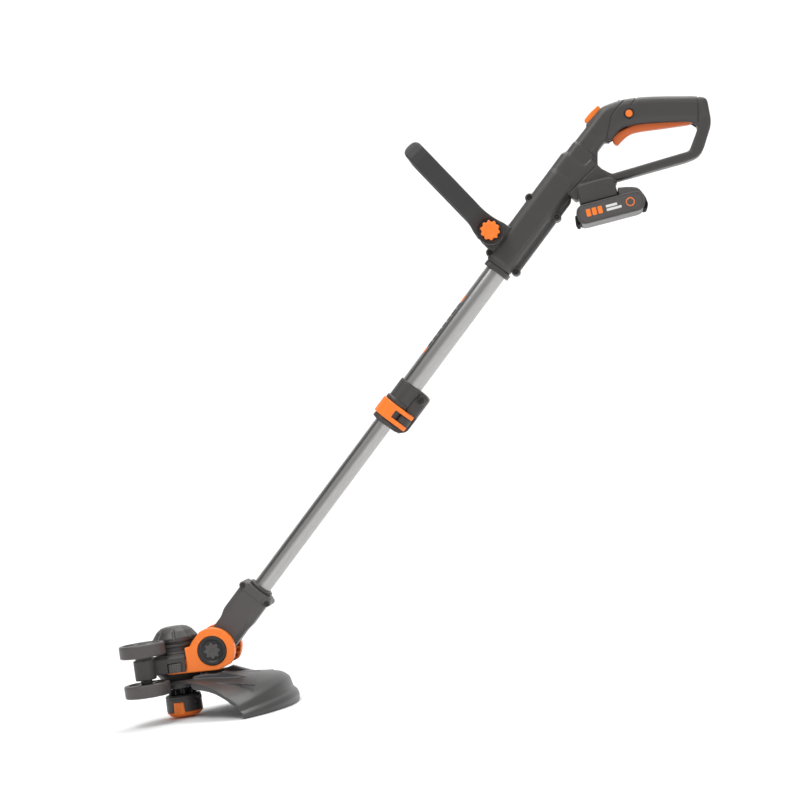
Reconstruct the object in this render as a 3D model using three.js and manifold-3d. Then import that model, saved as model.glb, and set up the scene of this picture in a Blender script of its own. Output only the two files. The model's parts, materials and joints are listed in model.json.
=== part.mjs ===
// A battery string trimmer with a telescopic shaft, a tilting head and two guide wheels.
// Millimetres, +Z up. The cutting plane is level, +X runs to the user's end, -Y is the side of the knob.
// The origin is the middle of the rear grip.
import * as THREE from "three";
import { mergeVertices } from "three/addons/utils/BufferGeometryUtils.js";
import Module from "manifold-3d";

const wasm = await Module();
wasm.setup();

// ---------------------------------------------------------------- driving dimensions
const GAP = 0.3; // air between touching pieces
const RAD = Math.PI / 180;
const SHAFT_ANGLE = 45 * RAD; // shaft above the cutting plane
const GRIP = [36, 962]; // middle of the grip, across and along the shaft from the head's pivot

// tubes and clamp, along the shaft from the pivot
const LOWER_TUBE = { outer: 12.7, inner: 11.5, from: 34, to: 640 };
const UPPER_TUBE = { outer: 15.25, inner: 13.75, from: 428, to: 840 };
const CLAMP = { from: 395, to: 463, radius: 17.3, grooveRadius: 18.4, grooveFrom: 403, grooveTo: 428.5 };
const LEVER = { inner: 18.8, outer: 22, from: 403.6, to: 427.9, pinX: 25.5, pinY: -11 };

// handle housing
const BARREL = { radius: 24, from: 666, to: 862 };
const GRIP_HALF_WIDTH = 17;
const SEAM = 0.15; // half the gap between the two halves
const AUX = { pivotX: -37.8, pivotS: 698.8, tilt: 9.5 * RAD, reach: 162, halfWidth: 56, leg: 13, depth: 25 };

// battery, in a frame that leans with the pack
const PACK = { x: 75.7, s: 822.4, lean: 51 * RAD, length: 98, height: 31, halfWidth: 36 };

// neck and head
const NECK = { halfWidth: 22, bottomRadius: 22.4, to: 104, front: -24.4, rear: 21.6 };
const RING = { outer: 31.5, hole: 19.8, from: 24, to: 37 };
const MOTOR_X = -57;
const GUARD = { radius: 163, halfAngle: 48 * RAD, top: -36, wall: 2.6, sag: 0.00105 };
const WHEEL = { x: -94.2, y: -52, radius: 32, width: 18, upper: 6.2, lower: -49 };
const HUB = { radius: 14.8, from: -26.2, to: 1.8 };
const SPOOL = { radius: 25.3, top: -56.8, bottom: -80.5 };

const FINISHES = {
  charcoal: { color: 0x474543, roughness: 0.55, metalness: 0 },
  orange: { color: 0xf36f21, roughness: 0.45, metalness: 0 },
  black: { color: 0x1c1c1d, roughness: 0.7, metalness: 0 },
  tube: { color: 0xb9bbbd, roughness: 0.32, metalness: 1 },
  steel: { color: 0x9a9c9f, roughness: 0.3, metalness: 1 },
  copper: { color: 0xa86a3a, roughness: 0.4, metalness: 1 },
  board: { color: 0x1f5a3a, roughness: 0.6, metalness: 0 },
  rubber: { color: 0x232323, roughness: 0.85, metalness: 0 },
  line: { color: 0xd8a020, roughness: 0.4, metalness: 0 },
};

// ---------------------------------------------------------------- shape helpers
// A geometry as a solid for joining and cutting, turned the right way round if its faces point in.
function solid(geometry) {
  const bare = geometry.clone();
  bare.deleteAttribute("normal");
  bare.deleteAttribute("uv");
  const merged = mergeVertices(bare, 1e-3);
  const vertProperties = merged.attributes.position.array;
  const triVerts = new Uint32Array(merged.index.array);
  const made = new wasm.Manifold(new wasm.Mesh({ numProp: 3, vertProperties, triVerts }));
  if (made.volume() >= 0) return made;
  for (let i = 0; i < triVerts.length; i += 3) {
    [triVerts[i + 1], triVerts[i + 2]] = [triVerts[i + 2], triVerts[i + 1]];
  }
  return new wasm.Manifold(new wasm.Mesh({ numProp: 3, vertProperties, triVerts }));
}

function geometryOf(made) {
  const mesh = made.getMesh();
  const geometry = new THREE.BufferGeometry();
  geometry.setAttribute("position", new THREE.BufferAttribute(new Float32Array(mesh.vertProperties), 3));
  geometry.setIndex(new THREE.BufferAttribute(new Uint32Array(mesh.triVerts), 1));
  return geometry;
}

const joined = (...geometries) => geometryOf(geometries.map(solid).reduce((a, b) => a.add(b)));
const cut = (base, ...tools) => geometryOf(tools.map(solid).reduce((a, b) => a.subtract(b), solid(base)));
const common = (a, b) => geometryOf(solid(a).intersect(solid(b)));

// A profile of [radius, z] points turned about +Z.
function turned(profile, segments = 24) {
  const points = profile.map(([r, z]) => new THREE.Vector2(r, z));
  return new THREE.LatheGeometry(points, segments).rotateX(Math.PI / 2);
}

const rod = (radius, from, to, segments = 24) =>
  turned([[0, from], [radius, from], [radius, to], [0, to]], segments);

const ring = (outer, inner, from, to, segments = 24) =>
  turned([[inner, from], [outer, from], [outer, to], [inner, to], [inner, from]], segments);

// A rod along Y through (x, z).
const crossRod = (radius, x, z, fromY, toY, segments = 18) =>
  rod(radius, fromY, toY, segments).rotateX(-Math.PI / 2).translate(x, 0, z);

// A box from its lowest to its highest corner.
function block([x0, y0, z0], [x1, y1, z1]) {
  return new THREE.BoxGeometry(x1 - x0, y1 - y0, z1 - z0)
    .translate((x0 + x1) / 2, (y0 + y1) / 2, (z0 + z1) / 2);
}

// An outline through corners of [u, v, rounding].
function outline(corners) {
  const shape = new THREE.Shape();
  const count = corners.length;
  corners.forEach(([u, v, rounding = 0], index) => {
    const here = new THREE.Vector2(u, v);
    const before = new THREE.Vector2(...corners[(index + count - 1) % count]);
    const after = new THREE.Vector2(...corners[(index + 1) % count]);
    const towards = (end) => {
      const leg = end.clone().sub(here);
      return here.clone().addScaledVector(leg, Math.min(rounding / leg.length(), 0.49));
    };
    const start = rounding ? towards(before) : here;
    if (index) shape.lineTo(start.x, start.y);
    else shape.moveTo(start.x, start.y);
    if (rounding) {
      const end = towards(after);
      shape.quadraticCurveTo(here.x, here.y, end.x, end.y);
    }
  });
  shape.closePath();
  return shape;
}

// An outline in the x-y plane, thickened from one height to another.
function slab(shape, from, to, bevel = 0, curveSegments = 4) {
  const depth = to - from - 2 * bevel;
  return new THREE.ExtrudeGeometry(shape, {
    depth, curveSegments, bevelEnabled: bevel > 0, bevelSize: bevel, bevelThickness: bevel,
    bevelOffset: -bevel, bevelSegments: 2,
  }).translate(0, 0, from + bevel);
}

// An outline in the x-z plane, thickened from one y to another.
const upright = (shape, fromY, toY, bevel = 0, curveSegments = 4) =>
  slab(shape, -toY, -fromY, bevel, curveSegments).rotateX(Math.PI / 2);

// A closed coil about +Z.
function coil(radius, wire, from, to, turns, perTurn = 10) {
  class Helix extends THREE.Curve {
    getPoint(t, target = new THREE.Vector3()) {
      const angle = 2 * Math.PI * turns * t;
      return target.set(radius * Math.cos(angle), radius * Math.sin(angle), from + (to - from) * t);
    }
  }
  const section = new THREE.Shape().absarc(0, 0, wire, 0, 2 * Math.PI);
  return new THREE.ExtrudeGeometry(section, {
    steps: turns * perTurn, extrudePath: new Helix(), curveSegments: 3, bevelEnabled: false,
  });
}

// Everything on one side of a plane across the given axis.
function half(axis, limit, sign) {
  const reach = 2000;
  const low = [-reach, -reach, -reach];
  const high = [reach, reach, reach];
  if (sign > 0) low[axis] = limit;
  else high[axis] = limit;
  return block(low, high);
}

function piece(parent, name, geometry, finish) {
  const mesh = new THREE.Mesh(geometry, new THREE.MeshStandardMaterial(FINISHES[finish]));
  mesh.name = name;
  geometry.computeVertexNormals();
  parent.add(mesh);
  return mesh;
}

// ---------------------------------------------------------------- frames
const trimmer = new THREE.Group();
trimmer.name = "string_trimmer";

// (across, along) the shaft, as x and z of the level frame at the pivot.
const level = (across, along) => [
  across * Math.cos(SHAFT_ANGLE) + along * Math.sin(SHAFT_ANGLE),
  along * Math.cos(SHAFT_ANGLE) - across * Math.sin(SHAFT_ANGLE),
];
const [gripX, gripZ] = level(...GRIP);

const head = new THREE.Group();
head.position.set(-gripX, 0, -gripZ);
trimmer.add(head);

const shaft = new THREE.Group();
shaft.rotation.y = SHAFT_ANGLE;
head.add(shaft);

const motor = new THREE.Group();
motor.position.x = MOTOR_X;
head.add(motor);

const pack = new THREE.Group();
pack.position.set(PACK.x, 0, PACK.s);
pack.rotation.y = -PACK.lean;
shaft.add(pack);

const packInShaft = (geometry) => geometry.rotateY(-PACK.lean).translate(PACK.x, 0, PACK.s);

// ---------------------------------------------------------------- handle housing
// The grip and its D loop, seen from the side: across the shaft, along the shaft.
function gripOutline() {
  const shape = outline([
    [-21.5, 838, 6], [-21, 852, 8], [-23, 893, 10], [-20, 931, 14], [-1.5, 955, 22], [24.3, 978, 25],
    [78, 1017.4, 12], [90.5, 1023.5, 7], [117, 999.5, 10], [132.5, 956, 13], [123, 939, 8],
    [62, 861, 10], [26, 818, 8], [20, 806, 4],
  ]);
  const hole = outline([
    [12.6, 871, 9], [24, 856, 8], [48.5, 860, 8], [115, 948, 9], [116.4, 962, 9], [104, 987.5, 9],
    [91, 983, 7], [62, 960.5, 20], [35, 937.5, 12], [21, 921, 8], [20.5, 899, 4], [12.5, 893, 5],
  ]);
  shape.holes.push(hole);
  return shape;
}

// The trigger's blade: a curved front, a flat back and a round eye about its pin.
const TRIGGER_PIN = [92, 990];
const triggerOutline = () => outline([
  [17, 903, 3], [25.3, 898, 2], [30.5, 898.5, 3], [32, 917.6, 8], [38, 928, 10], [67.5, 955.2, 10], [94, 981.5, 5],
  [98, 990, 5], [91, 996.5, 5], [62, 966, 10], [33, 938, 8], [22, 918, 6],
]);

// The room that the trigger sweeps while it is pulled.
const triggerRoom = () => outline([
  [9, 912], [19, 890], [36, 892], [40, 924], [102, 980], [104, 994],
  [92, 1001], [52, 978], [20, 950], [9, 930],
]);

function handleBody() {
  const barrel = turned([
    [0, BARREL.from], [BARREL.radius - 4, BARREL.from], [BARREL.radius, BARREL.from + 5],
    [BARREL.radius, BARREL.to - 20], [BARREL.radius - 6, BARREL.to], [0, BARREL.to],
  ], 28);
  const spine = upright(outline([[-12, 674, 3], [26.5, 674, 5], [26.5, 812, 5], [-12, 812, 3]]), -9, 9, 2, 3);
  const grip = upright(gripOutline(), -GRIP_HALF_WIDTH, GRIP_HALF_WIDTH, 2, 3);
  const bootSide = outline([[-39, 16.6, 2], [17, 16.6, 3], [17, 32, 6], [4, 38, 6], [-34, 38, 5], [-39, 30, 4]]);
  const boot = packInShaft(upright(bootSide, -30, 30, 1.5, 3));
  const web = upright(outline([[0, 806], [30, 806, 4], [52, 842, 6], [64, 858, 6], [40, 858, 6], [14, 862]]), -22, 22);
  const lug = upright(outline([
    [-14, 674, 5], [AUX.pivotX - 6, 679, 10], [AUX.pivotX - 18, AUX.pivotS, 14],
    [AUX.pivotX - 6, 718.5, 10], [-14, 723, 5],
  ]), -20, 20, 2, 4);
  return joined(barrel, spine, grip, boot, web, lug);
}

function handleRooms() {
  const [pinX, pinS] = TRIGGER_PIN;
  return [
    rod(UPPER_TUBE.outer + GAP, BARREL.from - 1, UPPER_TUBE.to + GAP),
    rod(8, UPPER_TUBE.to - 5, 872, 20),
    block([-10, -2.2, 839], [11, 2.2, 884]),
    upright(triggerRoom(), -8.6, 8.6),
    block([-6, -7, 931], [8, 7, 951]),
    crossRod(6.1, 17.1, 942.4, -25, 25, 20),
    upright(outline([[-32, 898], [-11, 896], [-7, 926], [-32, 930]]), -7.3, 7.3),
    crossRod(4.3, AUX.pivotX, AUX.pivotS, -25, 25, 20),
    crossRod(2.2, pinX, pinS, -12, 12, 12),
    packInShaft(block([-31, -12.3, 10], [-4, 12.3, 29.3])),
  ];
}

function buildHandle() {
  const body = cut(handleBody(), ...handleRooms());
  piece(shaft, "handle_half_near", common(body, half(1, -SEAM, -1)), "charcoal");
  piece(shaft, "handle_half_far", common(body, half(1, SEAM, 1)), "charcoal");
  piece(shaft, "barrel_ring", ring(19.2, UPPER_TUBE.outer + GAP, 658, BARREL.from - GAP), "charcoal");
  piece(shaft, "upper_tube", ring(UPPER_TUBE.outer, UPPER_TUBE.inner, UPPER_TUBE.from, UPPER_TUBE.to), "tube");
  piece(shaft, "trigger", cut(
    upright(triggerOutline(), -8, 8, 0.8, 3),
    crossRod(2.5, ...TRIGGER_PIN, -12, 12, 12),
  ), "orange");
  piece(shaft, "trigger_pin", crossRod(1.9, ...TRIGGER_PIN, -11.5, 11.5, 12), "steel");
  piece(shaft, "lock_off_button", crossRod(5.7, 17.1, 942.4, -19.4, 19.4, 20), "orange");
  piece(shaft, "feed_button", upright(
    outline([[-26.8, 899, 4], [-15, 898, 2], [-12, 924, 2], [-22.5, 927.5, 4]]), -7, 7, 1.2, 3,
  ), "orange");
  piece(shaft, "trigger_switch", block([-5.6, -6.6, 931.5], [7.6, 6.6, 950.5]), "black");
  piece(shaft, "control_board", block([-9.5, -0.8, 841], [10.5, 0.8, 883]), "board");
  piece(pack, "terminal_block", joined(
    block([-30, -12, 18.3], [-5, 12, 29]),
    ...[-8, 0, 8].map((y) => block([-28, y - 1, 11.5], [-8, y + 1, 19])),
  ), "black");
  piece(shaft, "motor_lead_coil", coil(9, 1.6, 758, 832, 5), "black");
}

// ---------------------------------------------------------------- clamp
function buildClamp() {
  const ear = slab(outline([[10, -13.5], [32, -13.5, 6], [32, 13.5, 6], [10, 13.5]]),
    CLAMP.from + 3, CLAMP.to - 1, 1, 3);
  const collar = turned([
    [0, CLAMP.from], [17.5, CLAMP.from], [20, CLAMP.from + 3], [20, CLAMP.grooveFrom],
    [CLAMP.grooveRadius, CLAMP.grooveFrom],
    [CLAMP.grooveRadius, CLAMP.grooveTo], [19.6, CLAMP.grooveTo], [19.6, 433.5], [CLAMP.radius, 437],
    [CLAMP.radius, CLAMP.to - 2], [CLAMP.radius - 2, CLAMP.to], [0, CLAMP.to],
  ]);
  const sweepRoom = ring(60, CLAMP.grooveRadius, CLAMP.grooveFrom, CLAMP.grooveTo);
  const knuckle = slab(outline([[16, -18, 2], [30.5, -17, 4], [31, -6, 4], [16, -6, 2]]), 410.6, 420.9);
  const nearSide = block([-60, -60, CLAMP.grooveFrom - 1], [60, -3, CLAMP.grooveTo + 1]);
  const body = solid(joined(collar, ear))
    .subtract(solid(sweepRoom).intersect(solid(nearSide)))
    .add(solid(knuckle))
    .subtract(solid(rod(LOWER_TUBE.outer + 2.6, CLAMP.from - 1, UPPER_TUBE.from - GAP)))
    .subtract(solid(rod(UPPER_TUBE.outer + GAP, UPPER_TUBE.from - GAP, CLAMP.to + 1)))
    .subtract(solid(block([10, -0.8, CLAMP.from - 1], [40, 0.8, CLAMP.to + 1])))
    .subtract(solid(rod(1.9, CLAMP.from - 1, 436, 12).translate(LEVER.pinX, LEVER.pinY, 0)))
    .subtract(solid(crossRod(2.8, 23.2, 452.6, -40, 20, 16)));
  piece(shaft, "clamp_body", geometryOf(body), "charcoal");
  const sleeve = ring(LOWER_TUBE.outer + 2.3, LOWER_TUBE.outer + GAP, CLAMP.from + 0.5, UPPER_TUBE.from - 2 * GAP);
  piece(shaft, "clamp_sleeve", sleeve, "black");
  piece(shaft, "clamp_screw", joined(
    crossRod(2.5, 23.2, 452.6, -14, 13, 16),
    crossRod(4.3, 23.2, 452.6, -17.5, -13.8, 6),
  ), "steel");

  const lever = slab(leverSector(), LEVER.from, LEVER.to, 0, 8);
  const eye = slab(new THREE.Shape().absarc(LEVER.pinX, LEVER.pinY, 5, 0, 2 * Math.PI), LEVER.from, LEVER.to, 0, 12);
  const armSide = outline([
    [6, -21.4], [14, -17.5], [24, -15.5], [24.5, -11], [29, -14.5], [22, -19.5], [14, -21.9],
  ]);
  const arm = slab(armSide, LEVER.from, LEVER.to);
  const slot = block([4.5, -40, 410], [40, 0, 421.5]);
  const pinHole = rod(2.2, LEVER.from - 1, LEVER.to + 1, 12).translate(LEVER.pinX, LEVER.pinY, 0);
  piece(shaft, "clamp_lever", cut(joined(lever, eye, arm), slot, pinHole), "orange");
  piece(shaft, "lever_pin", rod(1.6, CLAMP.from + 2, 434, 12).translate(LEVER.pinX, LEVER.pinY, 0), "steel");
}

// The lever's band round the near side and the front of the clamp.
function leverSector() {
  const start = -40 * RAD;
  const end = -205 * RAD;
  const shape = new THREE.Shape();
  shape.absarc(0, 0, LEVER.outer, start, end, true);
  shape.absarc(0, 0, LEVER.inner, end, start, false);
  shape.closePath();
  return shape;
}

// ---------------------------------------------------------------- second handle
function buildAuxHandle() {
  const aux = new THREE.Group();
  aux.position.set(AUX.pivotX, 0, AUX.pivotS);
  aux.rotation.y = AUX.tilt;
  shaft.add(aux);

  const outer = AUX.halfWidth;
  const inner = outer - AUX.leg;
  const loop = outline([
    [4, -34], [-16, -34, 6], [-42, -outer, 16], [-AUX.reach, -outer, 26], [-AUX.reach, outer, 26],
    [-42, outer, 16], [-16, 34, 6], [4, 34], [4, 22.3], [-18, 22.3, 5], [-40, inner, 14],
    [-AUX.reach + AUX.leg + 1, inner, 16], [-AUX.reach + AUX.leg + 1, -inner, 16], [-40, -inner, 14],
    [-18, -22.3, 5], [4, -22.3],
  ]);
  const eyes = [[-34, -22.3], [22.3, 34]].map(([from, to]) => crossRod(19, 0, 0, from, to, 28));
  piece(aux, "aux_handle", cut(
    joined(slab(loop, -AUX.depth / 2, AUX.depth / 2, 2, 4), ...eyes),
    crossRod(4.3, 0, 0, -60, 60, 16),
  ), "black");
  piece(aux, "aux_bolt", joined(
    crossRod(4, 0, 0, -33, 35, 16),
    crossRod(7.5, 0, 0, 34.4, 39, 6),
  ), "steel");

  const knob = new THREE.Shape();
  const lobes = 10;
  const perLobe = 4;
  for (let i = 0; i < lobes * perLobe; i += 1) {
    const angle = (2 * Math.PI * i) / (lobes * perLobe);
    const radius = 13 + 0.9 * Math.cos(lobes * angle);
    if (i) knob.lineTo(radius * Math.cos(angle), radius * Math.sin(angle));
    else knob.moveTo(radius, 0);
  }
  knob.closePath();
  piece(aux, "aux_knob", upright(knob, -46, -34.8), "orange");
}

// ---------------------------------------------------------------- battery
function buildBattery() {
  const side = PACK.length / 2;
  const low = -PACK.height / 2;
  const cheek = outline([[-side, low + 6, 4], [-side + 10, low, 4], [side - 12, low, 5], [side, low + 9, 7],
    [side, 9, 4], [side - 12, 12.4, 4], [-side + 8, 12.4, 4], [-side, 6, 4]]);
  const wide = upright(cheek, -PACK.halfWidth, PACK.halfWidth, 2, 3);
  const room = block([-side + 5, -31, low + 3], [side - 6, 31, 20]);
  piece(pack, "battery_case", cut(wide, room, block([side - 9, -8.3, -4.3], [side + 5, 8.3, 6.3])), "charcoal");
  const lid = joined(
    block([-side + 5.3, -30.7, 8.6], [side - 6.3, 30.7, 12.6]),
    block([-side + 9, -22, 12.6], [side - 8, 22, 16.2]),
  );
  piece(pack, "battery_lid", cut(lid, block([-side - 1, -13, 9.9], [-4, 13, 20])), "charcoal");
  const cells = [-2, -1, 0, 1, 2].map((i) => crossRod(9.05, i * 17.6, -2, -30, 30, 16).scale(0.9, 1, 1));
  piece(pack, "battery_cells", joined(...cells), "board");
  piece(pack, "battery_latch", block([side - 5.7, -8, -4], [side + 1.2, 8, 6]), "orange");
}

// ---------------------------------------------------------------- lower tube and neck
function buildLowerShaft() {
  piece(shaft, "lower_tube", ring(LOWER_TUBE.outer, LOWER_TUBE.inner, LOWER_TUBE.from, LOWER_TUBE.to), "tube");
  piece(shaft, "guide_bush", cut(
    turned([[0, 612], [11.1, 612], [11.1, LOWER_TUBE.to + GAP], [13.4, LOWER_TUBE.to + GAP], [13.4, 652], [0, 652]], 20),
    rod(5, 600, 660, 20),
  ), "black");
  piece(shaft, "motor_lead", rod(3, 36, 645, 12), "black");

  const bottom = crossRod(NECK.bottomRadius, 0, 0, -NECK.halfWidth, NECK.halfWidth, 30);
  const column = upright(outline([
    [NECK.front + 3.4, 0], [NECK.front, 16, 4], [NECK.front, 88, 3], [-26.5, 92, 3], [-26.5, 101, 3],
    [-20, NECK.to, 3],
    [18, NECK.to, 3], [26, 101, 3], [26, 92, 3], [NECK.rear, 86, 3], [NECK.rear, 56, 3], [NECK.rear - 1.7, 48, 3],
    [NECK.rear - 1.7, 0],
  ]), -NECK.halfWidth, NECK.halfWidth, 3.5, 3);
  const body = cut(
    joined(bottom, column),
    rod(LOWER_TUBE.outer + GAP, LOWER_TUBE.from - GAP, 120),
    rod(6, 14, 40, 16),
    crossRod(5.4, 0, 0, -40, 40, 20),
    ...[[-21, 96.5], [20.5, 96.5]].map(([x, s]) => crossRod(1.8, x, s, -19.4, 40, 12)),
    ...[[-21, 96.5], [20.5, 96.5]].map(([x, s]) => crossRod(3.9, x, s, -40, -19.4, 12)),
  );
  piece(shaft, "neck_half_near", common(body, half(1, -SEAM, -1)), "charcoal");
  piece(shaft, "neck_half_far", common(body, half(1, SEAM, 1)), "charcoal");
  piece(shaft, "neck_ring", ring(17.6, LOWER_TUBE.outer + GAP, NECK.to + GAP, 109), "charcoal");
  [-21, 20.5].forEach((x, index) => {
    piece(shaft, `neck_screw_${index + 1}`, joined(
      crossRod(1.5, x, 96.5, -20, 12, 10),
      crossRod(3.5, x, 96.5, -22, -19.7, 12),
    ), "steel");
  });
}

// ---------------------------------------------------------------- head
function buildYoke() {
  const plate = outline([
    [-38, 9, 2], [-38, -19, 4], [-50, -23, 3], [-50, -26.6, 2], [6, -27.4, 4], [24, -20.4, 12], [31.4, 0, 12], [24, 20, 12],
    [6, 31, 12], [-16, 26.5, 12], [-27, 14, 6], [-31, 9, 3],
  ]);
  const disc = crossRod(RING.outer, 0, 0, RING.from, RING.to, 36);
  const far = joined(upright(plate, RING.from, RING.to, 0), disc);
  const near = far.clone().rotateZ(Math.PI).scale(-1, 1, 1);
  const collar = common(
    ring(37.5, 33, -23.5, -8, 36).translate(MOTOR_X, 0, 0),
    half(0, -37, -1),
  );
  const sides = [-1, 1].map((side) => {
    const inner = side * RING.from;
    const outer = side * RING.to;
    return block([-50, Math.min(inner, outer), -26.4], [-36.5, Math.max(inner, outer), -8]);
  });
  const body = cut(
    joined(near, far, collar, ...sides),
    rod(33, -30, 40, 36).translate(MOTOR_X, 0, 0),
    crossRod(RING.hole, 0, 0, -60, -RING.from - 2, 30),
    crossRod(22, 0, 0, RING.from + 3, 60, 30),
    crossRod(5.4, 0, 0, -60, 60, 20),
  );
  piece(head, "yoke", body, "orange");
  const cap = cut(
    crossRod(19.3, 0, 0, -38.5, -30, 30),
    crossRod(16.5, 0, 0, -36, -29, 28),
  );
  piece(head, "tilt_button", cap, "charcoal");
  piece(head, "button_spring", coil(12, 0.9, -34.8, -31, 2).rotateX(-Math.PI / 2), "steel");
  piece(head, "pivot_bolt", joined(
    crossRod(5, 0, 0, -27, 31, 16),
    crossRod(9, 0, 0, 27.4, 33, 6),
    crossRod(8, 0, 0, -29.5, -26.4, 20),
  ), "steel");
}

function buildMotor() {
  piece(motor, "motor_housing", turned([
    [12, -47], [26.4, -47], [26.4, -36], [32.4, -25.5], [32.4, -3], [28.5, 0], [28.5, 18], [26.2, 18], [26.2, -24],
    [20, -31], [20, -41], [12, -44], [12, -47],
  ], 30), "charcoal");
  piece(motor, "motor_dome", turned([
    [0, 37.5], [17, 37.5], [29.5, 25], [29.5, 18.3], [31.2, 18.3], [32, 24.5], [25, 33], [19.5, 38.6], [15, 40], [0, 40],
  ], 30), "charcoal");
  piece(motor, "motor_can", turned([
    [4, -29.4], [18, -29.4], [25.4, -24], [25.4, 16], [4, 16], [4, 13], [22, 13], [22, -22], [17, -26.5],
    [4, -26.5], [4, -29.4],
  ], 20), "steel");
  piece(motor, "armature", ring(19.5, 2.8, -18, 9, 24), "copper");
  piece(motor, "motor_shaft", rod(2.5, -63, 22, 16), "steel");
  piece(motor, "upper_bearing", ring(8, 2.8, 16.3, 21, 20), "steel");
  piece(motor, "lower_bearing", ring(8, 2.8, -36, -29.7, 20), "steel");
}

// The guard's top and skirt as one sheet, sagging towards its sides.
function buildGuard() {
  const { radius, top, wall } = GUARD;
  const drop = (r) => -5 * Math.max(0, (r - 60) / 100);
  const sheet = turned([
    [26.8, -46.6], [26.8, -38], [34, -34.5], [122, top + drop(122)], [143, top - 9], [153, top - 18], [157, top - 33],
    [160.5, top - 38], [radius, top - 45], [radius - 1.5, top - 45 - 8], [radius - 4.5, top - 45 - 8],
    [157.5, top - 38], [154, top - 34], [150, top - 18], [141, top - 11.6], [120, top + drop(120) - wall],
    [36, -34.5 - wall], [29.6, -39.5], [29.6, -46.6], [26.8, -46.6],
  ], 48);
  const cornerX = radius * Math.cos(GUARD.halfAngle);
  const cornerY = radius * Math.sin(GUARD.halfAngle);
  const fan = slab(outline([
    [-12, 27, 2], [6, 44, 10], [30, 66, 20], [cornerX + (cornerX - 30) * 2, cornerY + (cornerY - 66) * 2],
    [cornerX + (cornerX - 30) * 2, -cornerY - (cornerY - 66) * 2], [30, -66, 20], [6, -44, 10], [-12, -27, 2],
  ]), -110, 0, 0, 6);
  const hubZone = rod(29.6, -50, -30, 30);
  const guard = common(sheet, joined(fan, hubZone));
  const position = guard.attributes.position;
  for (let i = 0; i < position.count; i += 1) {
    const y = position.getY(i);
    const z = position.getZ(i);
    const fade = Math.min(1, Math.max(0, (position.getX(i) - 20) / 60));
    position.setZ(i, z - GUARD.sag * fade * y * y);
  }
  piece(motor, "guard", guard, "charcoal");
  piece(motor, "line_cutter", block([122, -0.8, -76], [139, 0.8, -60]).rotateZ(-44 * RAD), "steel");
}

function buildSpool() {
  const { radius, top, bottom } = SPOOL;
  const shell = turned([
    [3, top], [radius - 3, top], [radius, top - 3], [radius, bottom], [radius - 2.4, bottom], [radius - 2.4, top - 3],
    [7, top - 3], [7, top - 16], [3, top - 16], [3, top],
  ], 30);
  const eyeletRoom = rod(2.7, 18, 40, 12).rotateY(Math.PI / 2).rotateZ(-38 * RAD).translate(0, 0, -68);
  const tabNotch = block([-7.2, -40, -90], [7.2, -18, -66.4]).rotateZ(-8 * RAD);
  piece(motor, "spool_housing", cut(shell, eyeletRoom, tabNotch), "charcoal");
  const eyelet = ring(2.4, 1.3, 22.4, 27.6, 12).rotateY(Math.PI / 2).rotateZ(-38 * RAD);
  piece(motor, "line_eyelet", eyelet.translate(0, 0, -68), "steel");
  piece(motor, "spool", cut(turned([
    [7.5, -61], [21, -61], [21, -63], [11, -63], [11, -76], [21, -76], [21, -78], [7.5, -78], [7.5, -61],
  ]), rod(7.5, -90, -50)), "black");
  piece(motor, "wound_line", ring(18.5, 11.3, -75.7, -63.3), "line");
  const cup = turned([
    [0, -86.5], [19.5, -86.5], [22, -84.5], [25, -80.8], [22.4, -80.8], [20, -83.5], [0, -83.5],
  ], 30);
  const tab = common(
    ring(25.2, 23.2, -84, -66.8, 36),
    block([-6.8, -40, -90], [6.8, -18, -60]).rotateZ(-8 * RAD),
  );
  const root = block([-6.8, -24.6, -83.6], [6.8, -18.5, -81]).rotateZ(-8 * RAD);
  piece(motor, "spool_cap", joined(cup, tab, root), "orange");
}

function buildWheels() {
  const { x, y, radius, width } = WHEEL;
  const wheels = new THREE.Group();
  wheels.position.set(x, y, 0);
  head.add(wheels);
  piece(wheels, "wheel_axle", joined(
    rod(3.6, WHEEL.lower + 2, WHEEL.upper + width - 4, 16),
    rod(6, WHEEL.lower + 1, WHEEL.lower + 3, 16),
    rod(6, WHEEL.upper + width - 4.2, WHEEL.upper + width - 2, 16),
  ), "steel");
  [["upper_wheel", WHEEL.upper, 1], ["lower_wheel", WHEEL.lower, -1]].forEach(([name, from, side]) => {
    const to = from + width;
    const web = side > 0 ? from + 4 : from + width - 8;
    const bevel = 2.5;
    piece(wheels, name, turned([
      [4, web - 2.5], [7.6, web - 2.5], [7.6, web], [radius - 5, web], [radius - 4.4, from + 0.6],
      [radius - bevel, from],
      [radius, from + bevel], [radius, to - bevel], [radius - bevel, to], [radius - 4.4, to - 0.6],
      [radius - 5, web + 4],
      [7.6, web + 4], [7.6, web + 7], [4, web + 7], [4, web - 2.5],
    ], 28), "rubber");
  });

  const hub = rod(HUB.radius, HUB.from, HUB.to).translate(x, y, 0);
  const arm = slab(outline([
    [x + 4, y + 5], [x + 13, y + 5.6, 2], [-62, y + 7, 3], [-44, -41.5, 4], [-44, -36], [-80, -22], [-90, -30], [x, y + 13],
  ]), -23.8, -2.6, 1.5, 3);
  const saddle = common(
    ring(41.6, 37.9, -21.5, 1.5, 36).translate(MOTOR_X, 0, 0),
    slab(outline([[-42, -60], [-42, -30], [-57, -18], [-100, -8], [-120, -60]]), -40, 20),
  );
  piece(head, "wheel_bracket", cut(
    joined(hub, arm, saddle),
    rod(37.9, -40, 20, 36).translate(MOTOR_X, 0, 0),
    rod(3.9, -60, 40, 16).translate(x, y, 0),
    block([-64, -60, -24.5], [-41, -41.9, -9.5]),
    block([-43.7, -60, -30], [-30, -20, 30]),
    block([-50.3, -37.3, -26.7], [-36, -20, -7.7]),
  ), "charcoal");
  piece(head, "bracket_clip", upright(
    outline([[-62.5, -10.5, 3], [-44.5, -10.5, 3], [-44.5, -23, 3], [-62.5, -23, 3]]), -45.2, -42.2, 0.8, 2,
  ), "black");
}

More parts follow.
